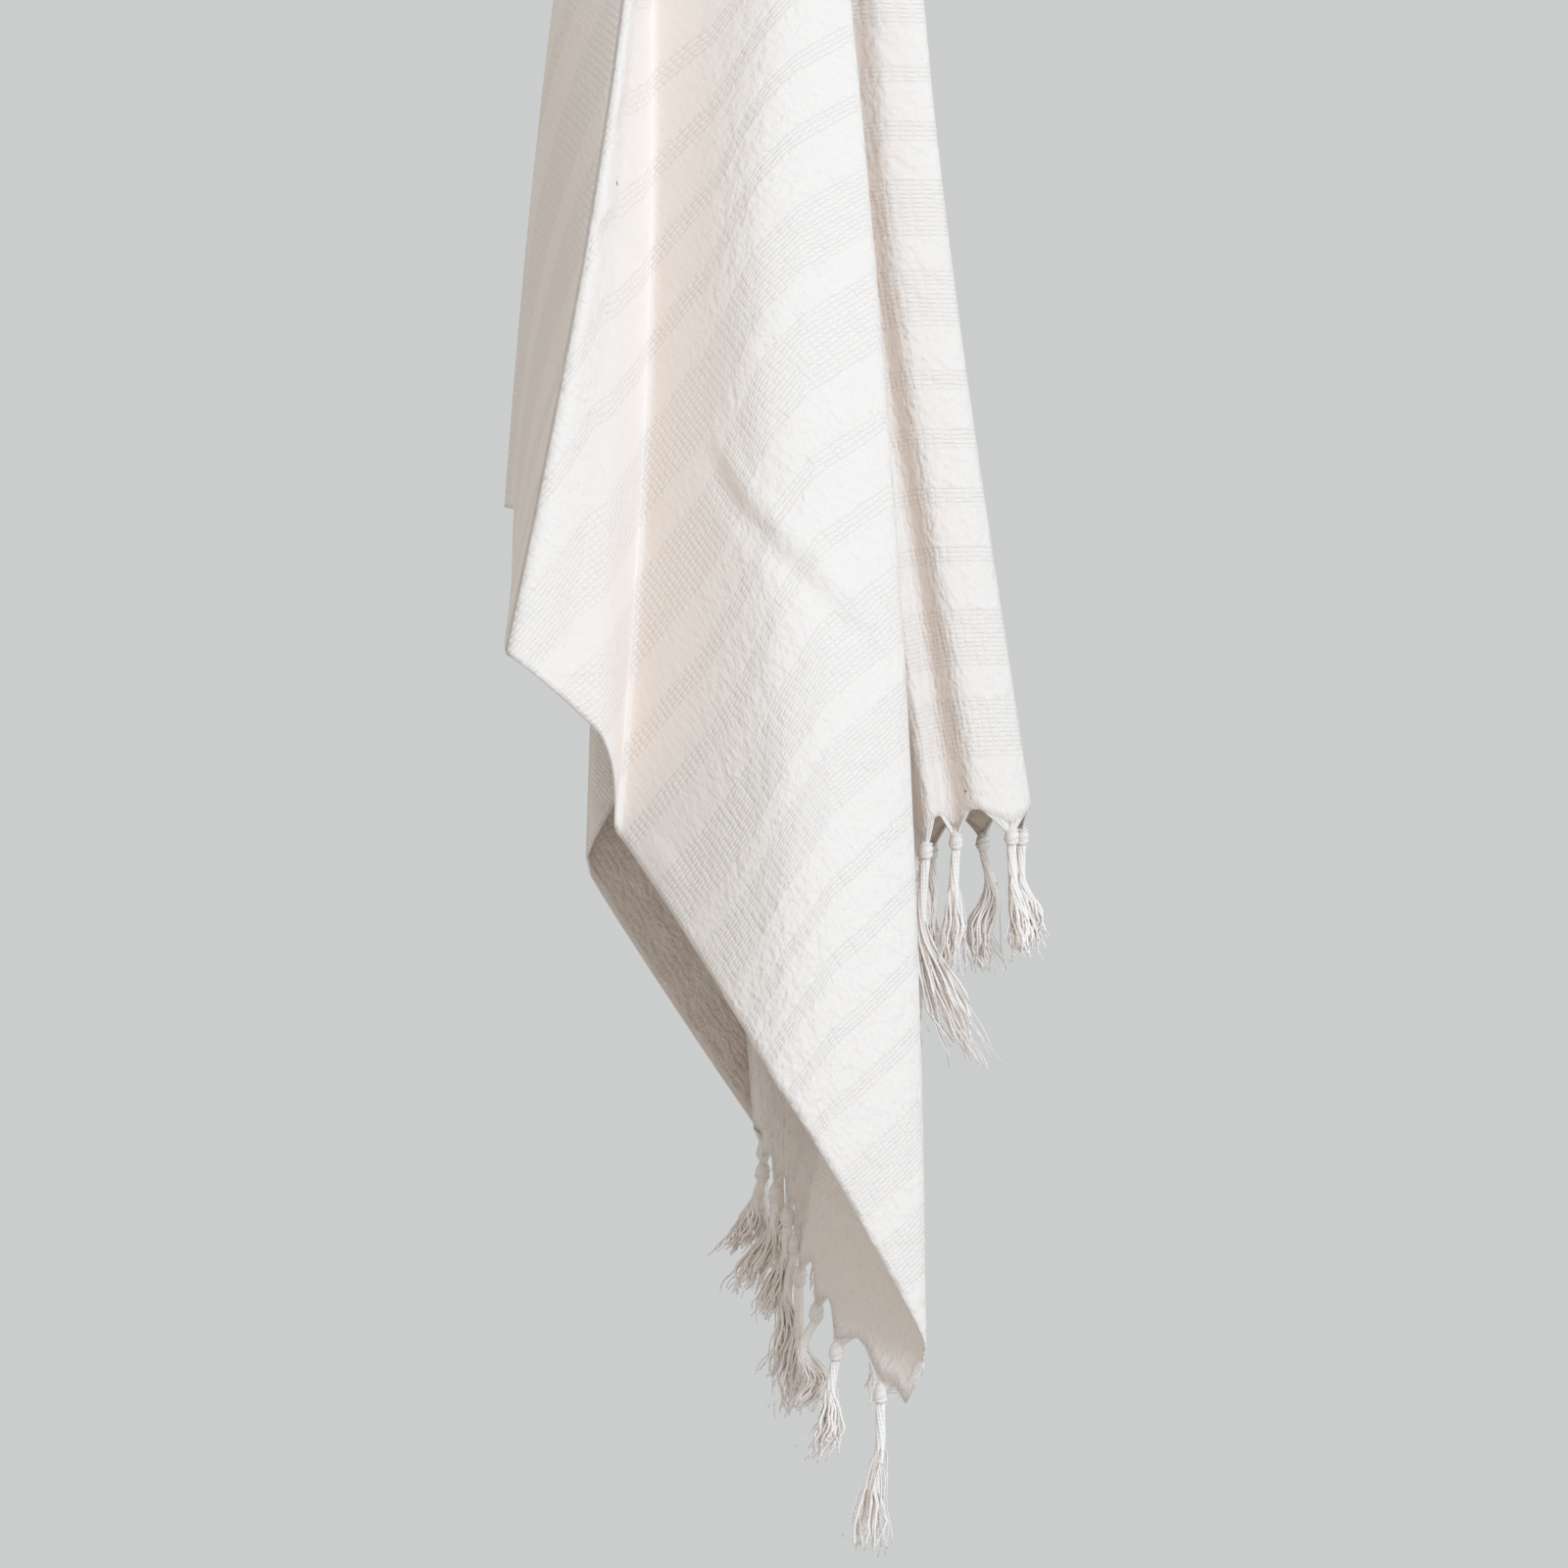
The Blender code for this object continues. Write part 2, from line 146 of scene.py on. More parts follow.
FRONT_FOLDS = (
    Fold("front ridge", 59.60, 0.7, (-62, -100, -151, -200), (-45, -80, -112, -130)),
    Fold("flank bend", 54.00, 1.0, (-55, -73, -79, -86), (-24, -43, -50, -56)),
    Fold("front valley", 48.40, 0.3, (-49, -52, -70, -100), (0, 0, 4, 10)),
    Fold("second ridge", 39.00, 1.0, (20, 12, 24, 0), (-26, -44, -50, -44)),
    Fold("right fold", 32.80, 0.8, (57, 78, 93, 101), (-8, -12, -10, 0)),
    Fold("flap bend", 28.00, 1.0, (52, 71, 83, 54), (8, 18, 32, 50)),
    Fold("flap end", 23.50, 0.9, (38, 50, 58, 26), (20, 46, 72, 90)),
)
LEFT_ARM_FOLDS = (
    Fold("arm start", -27.50, 0.9, (6, 4, 24, 64), (48, 100, 148, 198)),
    Fold("arm fold", -36.60, 0.9, (-36, -75, -87, -95), (38, 72, 90, 100)),
    Fold("arm tuck", -44.00, 0.8, (-56, -36, -22, -30), (28, 48, 60, 70)),
    Fold("arm return", -54.00, 1.0, (-76, -90, -100, -110), (30, 28, 36, 50)),
)
RIGHT_LAYER_FOLDS = (
    Fold("right inner ridge", -171.50, 1.0, (45, 66, 104, 116), (56, 94, 138, 180)),
    Fold("right trough", -174.60, 1.0, (60, 84, 121, 140), (60, 99, 142, 182)),
    Fold("right ridge", -177.30, 1.0, (77, 101, 140, 165), (52, 88, 130, 170)),
    Fold("right silhouette", -180.00, 0.9, (101, 130, 168, 200), (62, 106, 152, 190)),
    Fold("right back", -184.50, 1.0, (84, 112, 149, 174), (84, 140, 190, 225)),
    Fold("right back fold", -189.00, 0.9, (62, 88, 110, 134), (98, 176, 226, 256)),
)
LEFT_FLANK_FOLDS = (
    Fold("rear left fold", -272.00, 0.9, (-104, -131, -148, -165), (78, 132, 170, 200)),
    Fold("left tuck", -280.00, 1.0, (-95, -112, -128, -140), (34, 74, 90, 100)),
    Fold("left fold", -287.00, 0.9, (-101, -124, -131, -140), (6, 12, 20, 30)),
)


def direction_to(warp: float, weft: float) -> float:
    """Direction of a place of the flat cloth, in degrees that fall from the front ridge on."""
    phi = math.degrees(math.atan2(weft, warp))
    return phi if phi <= FRONT_FOLDS[0].phi else phi - 360


def run_along(path: Array) -> Array:
    """Distance along a path to each of its points."""
    return np.concatenate([[0], np.cumsum(np.linalg.norm(np.diff(path, axis=0), axis=1))])


@dataclass
class FlatCloth:
    """The towel laid flat, in metres from the hanging point: warp along u, weft along v."""

    width: float = 1.000
    length: float = 1.625
    to_short_end: float = 0.730
    to_selvedge_a: float = 0.550
    tassels: int = 22
    scallop: float = 0.009
    scallop_power: float = 1.4

    @property
    def to_long_end(self) -> float:
        """Distance from the hanging point to the long end."""
        return self.length - self.to_short_end

    @property
    def to_selvedge_b(self) -> float:
        """Distance from the hanging point to selvedge B."""
        return self.width - self.to_selvedge_a

    @property
    def pitch(self) -> float:
        """Distance between two tassels."""
        return self.width / self.tassels

    def tassel_wefts(self) -> list[float]:
        """Distances across the cloth at which the tassels stand."""
        return [-self.to_selvedge_b + (k + 0.5) * self.pitch for k in range(self.tassels)]

    def end_at(self, end: End) -> float:
        """Where an end lies along the warp, from the hanging point."""
        return self.to_long_end if end is End.LONG else -self.to_short_end

    def reach(self, phi: float) -> float:
        """Length of the straight line from the hanging point to the outline.

        Args:
            phi: Direction of the line, in degrees.

        Returns:
            Its length in metres, with the hem's scallops.
        """
        sine, cosine = math.sin(math.radians(phi)), math.cos(math.radians(phi))
        side = hem = math.inf
        if abs(sine) > LEAST_SINE:
            side = (self.to_selvedge_a if sine > 0 else self.to_selvedge_b) / abs(sine)
        if abs(cosine) > LEAST_SINE:
            end = self.to_long_end if cosine > 0 else self.to_short_end
            weft = end / abs(cosine) * sine
            turns = (weft + self.to_selvedge_b) / self.pitch
            edge = min(weft + self.to_selvedge_b, self.to_selvedge_a - weft) / (self.pitch / 2)
            wave = abs(math.cos(math.pi * turns)) ** self.scallop_power
            hem = (end - self.scallop * wave * min(max(edge, 0.0), 1.0)) / abs(cosine)
        return min(side, hem)

    def corners(self) -> list[float]:
        """Works out where the four corners lie.

        Returns:
            Their directions in degrees, falling.
        """
        warps = (self.to_long_end, -self.to_short_end)
        wefts = (self.to_selvedge_a, -self.to_selvedge_b)
        return sorted((direction_to(warp, weft) for warp in warps for weft in wefts), reverse=True)


@dataclass
class Drape:
    """Where each point of the flat cloth hangs."""

    flat: FlatCloth
    lean: float = 0.10
    dome: float = 0.004
    samples: int = 40
    roundness: float = 0.36
    neck_ease: float = 0.20
    neck_top: float = 0.030
    neck_points: int = 720
    neck_fineness: int = 4
    neck_passes: int = 8000
    neck_haste: float = 2.5
    neck_drift: float = 1 / 1500
    neck_stations: int = 26
    body_stations: int = 83
    body_step: float = 0.01
    deepest: float = 1.08
    pleat_soft: float = 0.9
    flap_pleats: int = 4
    flap_last_phi: float = -22.0
    flap_left: tuple[tuple[float, ...], ...] = ((27, 2, 4, 19), (27, -8, -4, 14))
    flap_right: tuple[float, ...] = (30, 62, 84, 93)
    wrap_phi: float = -62.0
    wrap_share: float = 0.8
    inner_pleats: int = 5
    pleat_left: tuple[float, ...] = (-70, -88, -70, 6)
    pleat_right: tuple[float, ...] = (45, 66, 98, 112)
    pleat_near: tuple[float, ...] = (56, 106, 150, 190)
    pleat_far: tuple[float, ...] = (88, 186, 240, 262)
    pleat_uneven: float = 0.16
    pleat_turn: float = 2.3
    back_more: int = 3
    back_offset: tuple[float, ...] = (20, 24, 36, 44)
    back_shift: tuple[float, ...] = (0, 0, -5, -7)
    folds: list[Fold] = field(default_factory=list)
    _stations: Array = field(default_factory=lambda: np.zeros(0))
    _rings: Array = field(default_factory=lambda: np.zeros(0))

    def __post_init__(self) -> None:
        """Lines up the folds into one closed ring."""
        self.folds = self._all_folds()

    @staticmethod
    def _mixed(first: Sequence[float], second: Sequence[float], share: float) -> tuple[float, ...]:
        """Row of values between two rows."""
        return tuple(a + (b - a) * share for a, b in zip(first, second))

    def _flap_folds(self) -> list[Fold]:
        """Lines up the cloth behind the flap, to and fro between a left and a right line.

        Returns:
            Its folds, from the flap's end to the left arm.
        """
        start, end = FRONT_FOLDS[-1], LEFT_ARM_FOLDS[0]
        folds = []
        for k in range(1, self.flap_pleats + 1):
            side = self.flap_left[k // 2] if k % 2 else self.flap_right
            phi = start.phi + (self.flap_last_phi - start.phi) * k / self.flap_pleats
            y = self._mixed(start.y, end.y, k / (self.flap_pleats + 1))
            folds.append(Fold(f"flap pleat {k}", phi, self.pleat_soft, side, y))
        return folds

    def _pleat_place(self, k: int) -> tuple[tuple[float, ...], tuple[float, ...]]:
        """Places one turn of the inner layer. Even turns are near, odd ones far.

        Args:
            k: The turn's number.

        Returns:
            Its rows x and y.
        """
        x = self._mixed(self.pleat_left, self.pleat_right, k / (self.inner_pleats + 1))
        short = self.pleat_uneven * (1 + math.sin(self.pleat_turn * k)) / 2
        if k % 2:
            return x, self._mixed(self.pleat_far, self.pleat_near, short)
        return x, self._mixed(self.pleat_near, self.pleat_far, short)

    def _inner_folds(self, start: Fold, end: Fold) -> list[Fold]:
        """Lines up the hidden layer that runs from the left arm to the right layer.

        Args:
            start: The fold before it.
            end: The fold after it.

        Returns:
            Its folds.
        """
        folds = []
        for k in range(1, self.inner_pleats + 1):
            x, y = self._pleat_place(k)
            phi = start.phi + (end.phi - start.phi) * k / (self.inner_pleats + 1)
            folds.append(Fold(f"inner pleat {k}", phi, self.pleat_soft, x, y))
        return folds

    def _back_folds(self, start: Fold, end: Fold) -> list[Fold]:
        """Lines up the back of the bundle, which lies in the folds of the inner layer.

        Args:
            start: The fold before it.
            end: The fold after it.

        Returns:
            Its folds.
        """
        count = self.inner_pleats + self.back_more
        folds = []
        for k in range(1, count + 1):
            x, y = self._pleat_place(count - 1 - k)
            phi = start.phi + (end.phi - start.phi) * k / (count + 1)
            x = tuple(a + b for a, b in zip(x, self.back_shift))
            y = tuple(a + b for a, b in zip(y, self.back_offset))
            folds.append(Fold(f"back pleat {k}", phi, self.pleat_soft, x, y))
        return folds

    def _all_folds(self) -> list[Fold]:
        """Lines up all folds.

        Returns:
            The closed ring of folds, in order of falling phi.
        """
        near = self._mixed(LEFT_ARM_FOLDS[1].y, self.pleat_near, self.wrap_share)
        wrap = Fold("arm wrap", self.wrap_phi, 1.0, self.pleat_left, near)
        ring = [*FRONT_FOLDS, *self._flap_folds(), *LEFT_ARM_FOLDS, wrap]
        ring += [*self._inner_folds(wrap, RIGHT_LAYER_FOLDS[0]), *RIGHT_LAYER_FOLDS]
        ring += [*self._back_folds(RIGHT_LAYER_FOLDS[-1], LEFT_FLANK_FOLDS[0]), *LEFT_FLANK_FOLDS]
        return ring

    def _fold_points(self, depth: float) -> Array:
        """Places all folds at one depth, on the cubic through their four table places.

        Args:
            depth: Distance from the hanging point along the cloth, in metres.

        Returns:
            A row (x, y) in metres for each fold.
        """
        weights = [math.prod((depth - d) / (s - d) for d in DEPTHS if d != s) for s in DEPTHS]
        points = np.array([[np.dot(f.x, weights), np.dot(f.y, weights)] for f in self.folds]) / MM
        return points - np.array([0.0, self.lean * depth])

    def _closing(self, depth: float) -> float:
        """Size of the bundle above the first depth, as a share of its size there."""
        return (1 - math.exp(-depth / self.neck_ease)) / (1 - math.exp(-DEPTHS[0] / self.neck_ease))

    def ring_at(self, phis: Array, depth: float) -> Array:
        """Places some directions at one depth.

        Args:
            phis: Directions, in degrees, falling.
            depth: Distance from the hanging point along the cloth, in metres.

        Returns:
            A row (x, y) in metres for each direction.
        """
        points = self._fold_points(depth)
        soft = np.array([fold.soft for fold in self.folds])[:, None]
        before, after = np.roll(points, 1, axis=0), np.roll(points, -1, axis=0)
        chord = np.linalg.norm(after - before, axis=1)[:, None] + LEAST_GAP
        leg_after = np.linalg.norm(after - points, axis=1)
        leg_before = np.linalg.norm(points - before, axis=1)
        leg = np.minimum(leg_after, leg_before)[:, None]
        tangents = (after - before) / chord * np.maximum(chord / 2, leg * self.roundness) * soft
        t = np.linspace(0, 1, self.samples)[:, None]
        placed = np.zeros((len(phis), 2))
        for k, fold in enumerate(self.folds):
            n = (k + 1) % len(self.folds)
            end_phi = self.folds[n].phi if n else self.folds[0].phi - 360
            curve = (
                (2 * t**3 - 3 * t**2 + 1) * points[k]
                + (t**3 - 2 * t**2 + t) * tangents[k]
                + (-2 * t**3 + 3 * t**2) * points[n]
                + (t**3 - t**2) * tangents[n]
            )
            run = run_along(curve)
            here = (phis <= fold.phi) & (phis > end_phi)
            share = (fold.phi - phis[here]) / (fold.phi - end_phi) * run[-1]
            placed[here, 0] = np.interp(share, run, curve[:, 0])
            placed[here, 1] = np.interp(share, run, curve[:, 1])
        return placed

    @staticmethod
    def _way_round(ring: Array) -> Array:
        """Distance along a closed ring to each of its places, and at last back to the first."""
        return run_along(np.vstack([ring, ring[:1]]))

    @staticmethod
    def _along(ring: Array, marks: Array, steps: Array) -> Array:
        """Places on a closed ring, whose own places have the given marks, at other marks."""
        closed = np.vstack([ring, ring[:1]])
        return np.column_stack([np.interp(steps, marks, closed[:, k]) for k in (0, 1)])

    def _neck_rings(self, phis: Array, depths: Array) -> list[Array]:
        """Places some directions above the first depth of the tables.

        Towards the top the folds are eased, the narrowest first, until the neck is round.

        Args:
            phis: Directions, in degrees, falling.
            depths: Distances from the hanging point in metres, the deepest first.

        Returns:
            For each depth, a row (x, y) in metres for each direction.
        """
        fine_count = self.neck_fineness * self.neck_points
        fine = np.linspace(self.folds[0].phi, self.folds[0].phi - 360, fine_count, endpoint=False)
        ring = self.ring_at(fine, DEPTHS[0]) + np.array([0.0, self.lean * DEPTHS[0]])
        run = self._way_round(ring)
        even = np.linspace(0, 1, self.neck_points, endpoint=False)
        marks = np.append(even, 1.0)
        spread = np.interp(-phis, -fine, run[:-1] / run[-1])
        share, done, rings = spread, 0, []
        ring = self._along(ring, run / run[-1], even)
        for depth in depths:
            eased = min((DEPTHS[0] - depth) / (DEPTHS[0] - self.neck_top), 1) ** self.neck_haste
            while done < self.neck_passes * eased:
                ring = (2 * ring + np.roll(ring, 1, axis=0) + np.roll(ring, -1, axis=0)) / 4
                run = self._way_round(ring)
                share = np.interp(share, marks, run / run[-1])
                share = share + (spread - share) * self.neck_drift
                ring = self._along(ring, run / run[-1], even)
                done += 1
            here = self._along(ring, marks, share) - ring.mean(axis=0) * eased
            rings.append(here * self._closing(depth) - np.array([0.0, self.lean]) * depth)
        return rings

    def prepare(self, phis: Array) -> None:
        """Works out the drape of a set of directions, for grid() to read.

        Args:
            phis: Directions, in degrees, falling.
        """
        neck = np.linspace(0.0, DEPTHS[0], self.neck_stations)
        body = np.linspace(DEPTHS[0] + self.body_step, self.deepest, self.body_stations)
        rings = self._neck_rings(phis, neck[::-1])[::-1]
        self._rings = np.array(rings + [self.ring_at(phis, depth) for depth in body])
        self._stations = np.concatenate([neck, body])

    def grid(self, depths: Array) -> Array:
        """Places a grid of points.

        Args:
            depths: A row of depths for each step down, with a column for each prepared direction.

        Returns:
            An array of the same shape with a point (x, y, z) in metres in each place.
        """
        made = np.zeros((*depths.shape, 3))
        for col in range(depths.shape[1]):
            for axis in (0, 1):
                ring = self._rings[:, col, axis]
                made[:, col, axis] = np.interp(depths[:, col], self._stations, ring)
        made[..., 2] = self.drop(depths)
        return made

    def drop(self, depth: Array | float) -> Array | float:
        """Height of what lies this far from the hanging point along the cloth."""
        return -(np.hypot(depth, self.dome) - self.dome)

    def place(self, warp: float, weft: float) -> Array:
        """Places one point of the flat cloth's lower part.

        Args:
            warp: Its distance from the hanging point along the warp, in metres.
            weft: Its distance from the hanging point along the weft, in metres.

        Returns:
            The point (x, y, z) in metres.
        """
        depth = math.hypot(warp, weft)
        x, y = self.ring_at(np.array([direction_to(warp, weft)]), depth)[0]
        return np.array([x, y, self.drop(depth)])


@dataclass
class MeshParts:
    """Collects vertices, faces and flat coordinates, and makes one mesh object of them."""

    off_axis: tuple[float, float, float] = (0.31, 0.95, 0.05)
    points: list[Array] = field(default_factory=list)
    faces: list[tuple[int, ...]] = field(default_factory=list)
    flat: list[Array] = field(default_factory=list)
    count: int = 0

    def add(self, points: Array, flat: Array, faces: Sequence[tuple[int, ...]]) -> None:
        """Adds a piece of mesh.

        Args:
            points: Its vertices, a row for each.
            flat: Its flat coordinates in metres, a row (u, v) for each vertex.
            faces: Its faces, by the vertices' numbers in this piece.
        """
        self.points.append(points)
        self.flat.append(flat)
        self.faces += [tuple(i + self.count for i in face) for face in faces]
        self.count += len(points)

    def tube(self, path: Array, radii: Array, sides: int, around: float = 1.0) -> None:
        """Adds a closed tube along a path.

        Args:
            path: Points of its middle line.
            radii: Its radius at each point.
            sides: Number of its sides.
            around: How much of the flat coordinate u one turn takes.
        """
        tangents = np.gradient(path, axis=0)
        tangents /= np.linalg.norm(tangents, axis=1)[:, None] + LEAST_NORM
        side = np.cross(tangents[0], self.off_axis)
        side /= np.linalg.norm(side)
        angles = 2 * math.pi * np.arange(sides) / sides
        steps_around = around * np.arange(sides) / sides
        rings, flats = [], []
        for centre, tangent, radius, length in zip(path, tangents, radii, run_along(path)):
            side = side - tangent * np.dot(side, tangent)
            side /= np.linalg.norm(side) + LEAST_NORM
            other = np.cross(tangent, side)
            turned = np.outer(np.cos(angles), side) + np.outer(np.sin(angles), other)
            rings.append(centre + radius * turned)
            flats.append(np.column_stack([steps_around, np.full(sides, length)]))
        faces: list[tuple[int, ...]] = [tuple(reversed(range(sides)))]
        for start in range(0, (len(path) - 1) * sides, sides):
            for k in range(sides):
                n = (k + 1) % sides
                faces.append((start + k, start + n, start + sides + n, start + sides + k))
        faces.append(tuple((len(path) - 1) * sides + k for k in range(sides)))
        self.add(np.vstack(rings), np.vstack(flats), faces)

    def make(self, name: str) -> bpy.types.Object:
        """Makes the object.

        Args:
            name: The piece's name.

        Returns:
            The object, at the origin, with its flat coordinates as UV map.
        """
        mesh = bpy.data.meshes.new(name)
        mesh.from_pydata([tuple(p) for p in np.vstack(self.points)], [], self.faces)
        layer = mesh.uv_layers.new(name=FLAT_MAP)
        corners = np.zeros(len(mesh.loops), dtype=np.int32)
        mesh.loops.foreach_get("vertex_index", corners)
        layer.data.foreach_set("uv", np.vstack(self.flat)[corners].astype(np.float32).ravel())
        mesh.polygons.foreach_set("use_smooth", np.ones(len(mesh.polygons), dtype=bool))
        mesh.update()
        made = bpy.data.objects.new(name, mesh)
        bpy.context.scene.collection.objects.link(made)
        return made


COLUMN_SPANS = (
    Span(59.60, 22.0, 2.6),
    Span(22.0, -27.0, 1.1),
    Span(-27.0, -62.0, 1.7),
    Span(-62.0, -148.0, 0.45),
    Span(-148.0, -168.0, 1.2),
    Span(-168.0, -186.0, 2.8),
    Span(-186.0, -217.0, 1.2),
    Span(-217.0, -272.0, 0.45),
    Span(-272.0, -300.4, 2.4),
)

CREASES = (
    Crease(
        "long diagonal", ((-15, -508), (5, -543), (23, -563), (51, -591), (81, -624)),
        5, 3.6, 59, 31,
    ),
    Crease(
        "long diagonal's trough", ((-20, -520), (-2, -553), (14, -572), (44, -602), (74, -634)),
        6, -2.8, 59, 31,
    ),
    Crease("pointed crease", ((-92, -373), (-68, -391), (-51, -410)), 6, 2.0, 59.6, 48),
    Crease("pointed crease's trough", ((-97, -380), (-74, -398), (-56, -418)), 7, -1.6, 59.6, 48),
    Crease("lower wrinkle", ((-53, -736), (-42, -748), (-30, -760)), 5, 1.2, 59.6, 39),
)

CRINKLES = (
    Crinkle(59.6, 1.0),
    Crinkle(55.0, 0.7),
    Crinkle(52.0, 0.35),
    Crinkle(48.0, 0.15),
    Crinkle(44.5, 0.2),
    Crinkle(41.0, 0.8),
    Crinkle(38.0, 1.0),
    Crinkle(30.0, 1.0),
    Crinkle(-168.0, 1.0),
    Crinkle(-184.0, 1.0),
    Crinkle(-188.0, 0.6),
    Crinkle(-284.0, 0.3),
    Crinkle(-300.4, 0.3),
)

BAND_LIFTS = (
    BandLift(59.6, 60, 60),
    BandLift(56.0, 55, 58),
    BandLift(54.0, 44, 50),
    BandLift(50.0, 30, 12),
    BandLift(47.0, 28, 6),
    BandLift(43.5, 27, 4),
    BandLift(42.0, 33, 6),
    BandLift(40.5, 43, 10),
    BandLift(39.0, 52, 24),
    BandLift(37.0, 60, 38),
    BandLift(32.8, 62, 38),
    BandLift(28.0, 30, 20),
    BandLift(22.0, 0, 0),
    BandLift(-165.0, 0, 0),
    BandLift(-168.0, -5, -5),
    BandLift(-190.0, -5, -5),
    BandLift(-193.0, 0, 0),
)
LOW_BANDS = 0.535
HIGH_BANDS = 0.355


@dataclass
class TowelCloth:
    """The woven sheet."""

    flat: FlatCloth
    drape: Drape
    thickness: float = 0.0013
    neck_depths: tuple[float, ...] = (
        0.003, 0.008, 0.015, 0.025, 0.038, 0.053, 0.070, 0.088, 0.106,
        0.124, 0.142, 0.160, 0.178, 0.196, 0.212, 0.226, 0.239, 0.250,
    )
    body_rows: int = 86
    snap: float = 0.5
    crease_ends: float = 0.6
    crease_sides: float = 1.4
    tip_crinkle: float = 0.5

    def _columns(self) -> Array:
        """Chooses the mesh's columns, with the corners and the tassels among them.

        Returns:
            Their directions in degrees, falling.
        """
        found: list[float] = []
        for span in COLUMN_SPANS:
            count = round((span.start - span.end) * span.per_degree)
            found += list(np.linspace(span.start, span.end, count, endpoint=False))
        fixed = self.flat.corners()
        for end in End:
            warp = self.flat.end_at(end)
            fixed += [direction_to(warp, weft) for weft in self.flat.tassel_wefts()]
        for phi in fixed:
            nearest = min(range(1, len(found)), key=lambda k: abs(found[k] - phi))
            if abs(found[nearest] - phi) < self.snap:
                found[nearest] = phi
            else:
                found.append(phi)
        return np.array(sorted(set(found), reverse=True))

    @staticmethod
    def _band_lift(phis: Array, u: Array) -> Array:
        """Works out how far the bands are drawn up towards the hanging point.

        Args:
            phis: The columns' directions, in degrees.
            u: Distance along the warp of each place of the grid, in metres.

        Returns:
            What is added to it for the bands, in metres.
        """
        turns = [-lift.phi for lift in BAND_LIFTS]
        high = np.interp(-phis, turns, [lift.high for lift in BAND_LIFTS], right=0)[None, :]
        low = np.interp(-phis, turns, [lift.low for lift in BAND_LIFTS], right=0)[None, :]
        share = np.interp(u, [HIGH_BANDS, LOW_BANDS], [0.0, 1.0])
        return (high + (low - high) * share) / MM

    @staticmethod
    def _beside(seen: Array, crease: Crease) -> tuple[Array, Array]:
        """Measures how the grid lies to a crease, as seen from the front.

        Args:
            seen: Places (x, z) of the grid in mm.
            crease: The crease.

        Returns:
            The distance of each place to it in mm, and how far along it is nearest, from 0 to 1.
        """
        gaps = np.full(seen.shape[:2], np.inf)
        shares = np.zeros(seen.shape[:2])
        stops = np.array(crease.points, dtype=float)
        run = run_along(stops)
        for k in range(len(stops) - 1):
            a, b = stops[k], stops[k + 1]
            share = np.clip(((seen - a) @ (b - a)) / np.dot(b - a, b - a), 0, 1)
            gap = np.linalg.norm(seen - a - share[..., None] * (b - a), axis=-1)
            closer = gap < gaps
            gaps = np.where(closer, gap, gaps)
            shares = np.where(closer, (run[k] + share * (run[k + 1] - run[k])) / run[-1], shares)
        return gaps, shares

    def _press(self, points: Array, normals: Array, phis: Array) -> Array:
        """Presses the creases into the cloth's middle surface.

        Args:
            points: Points of the grid, in metres.
            normals: Its outward normals.
            phis: The columns' directions, in degrees.

        Returns:
            The moved points.
        """
        moved = points.copy()
        seen = np.stack([points[..., 0], points[..., 2]], axis=-1) * MM
        for crease in CREASES:
            after = np.clip((crease.first_phi - phis) / self.crease_sides, 0, 1)
            before = np.clip((phis - crease.last_phi) / self.crease_sides, 0, 1)
            gaps, shares = self._beside(seen, crease)
            fade = np.sin(math.pi * np.clip(shares, 0.0, 1.0)) ** self.crease_ends
            height = crease.height * np.exp(-((gaps / crease.width) ** 2)) * fade / MM
            moved += normals * ((after * before)[None, :] * height)[..., None]
        return moved

    @staticmethod
    def _grid_normals(points: Array) -> Array:
        """Works out the normals of a grid that is closed across.

        Args:
            points: Points of the grid.

        Returns:
            The outward unit normal at each of them.
        """
        down = np.gradient(points, axis=0)
        across = (np.roll(points, -1, axis=1) - np.roll(points, 1, axis=1)) / 2
        normals = np.cross(down, across)
        return normals / (np.linalg.norm(normals, axis=2)[..., None] + LEAST_NORM)

    def _solid(self, middle: Array, normals: Array, flat: Array) -> bpy.types.Object:
        """Closes the two sides of the sheet at its rim and over its top.

        Args:
            middle: Points of its middle surface.
            normals: Its outward normals.
            flat: Flat coordinates (u, v) of the points.

        Returns:
            The sheet's object.
        """
        rows, columns = middle.shape[:2]
        parts = MeshParts()
        half = self.thickness / 2
        tip = np.array([[0.0, 0.0, half], [0.0, 0.0, -half]])
        outer, inner = middle + normals * half, middle - normals * half
        points = np.vstack([tip, outer.reshape(-1, 3), inner.reshape(-1, 3)])
        coords = np.vstack([np.zeros((2, 2)), flat.reshape(-1, 2), flat.reshape(-1, 2)])
        size = rows * columns
        faces: list[tuple[int, ...]] = []
        for col in range(columns):
            n = (col + 1) % columns
            faces.append((0, 2 + col, 2 + n))
            faces.append((1, 2 + size + n, 2 + size + col))
            for row in range(rows - 1):
                a, b = 2 + row * columns + col, 2 + row * columns + n
                c, d = b + columns, a + columns
                faces.append((a, d, c, b))
                faces.append((b + size, c + size, d + size, a + size))
            a, b = 2 + (rows - 1) * columns + col, 2 + (rows - 1) * columns + n
            faces.append((b, a, a + size, b + size))
        parts.add(points, coords, faces)
        return parts.make("cloth_sheet")

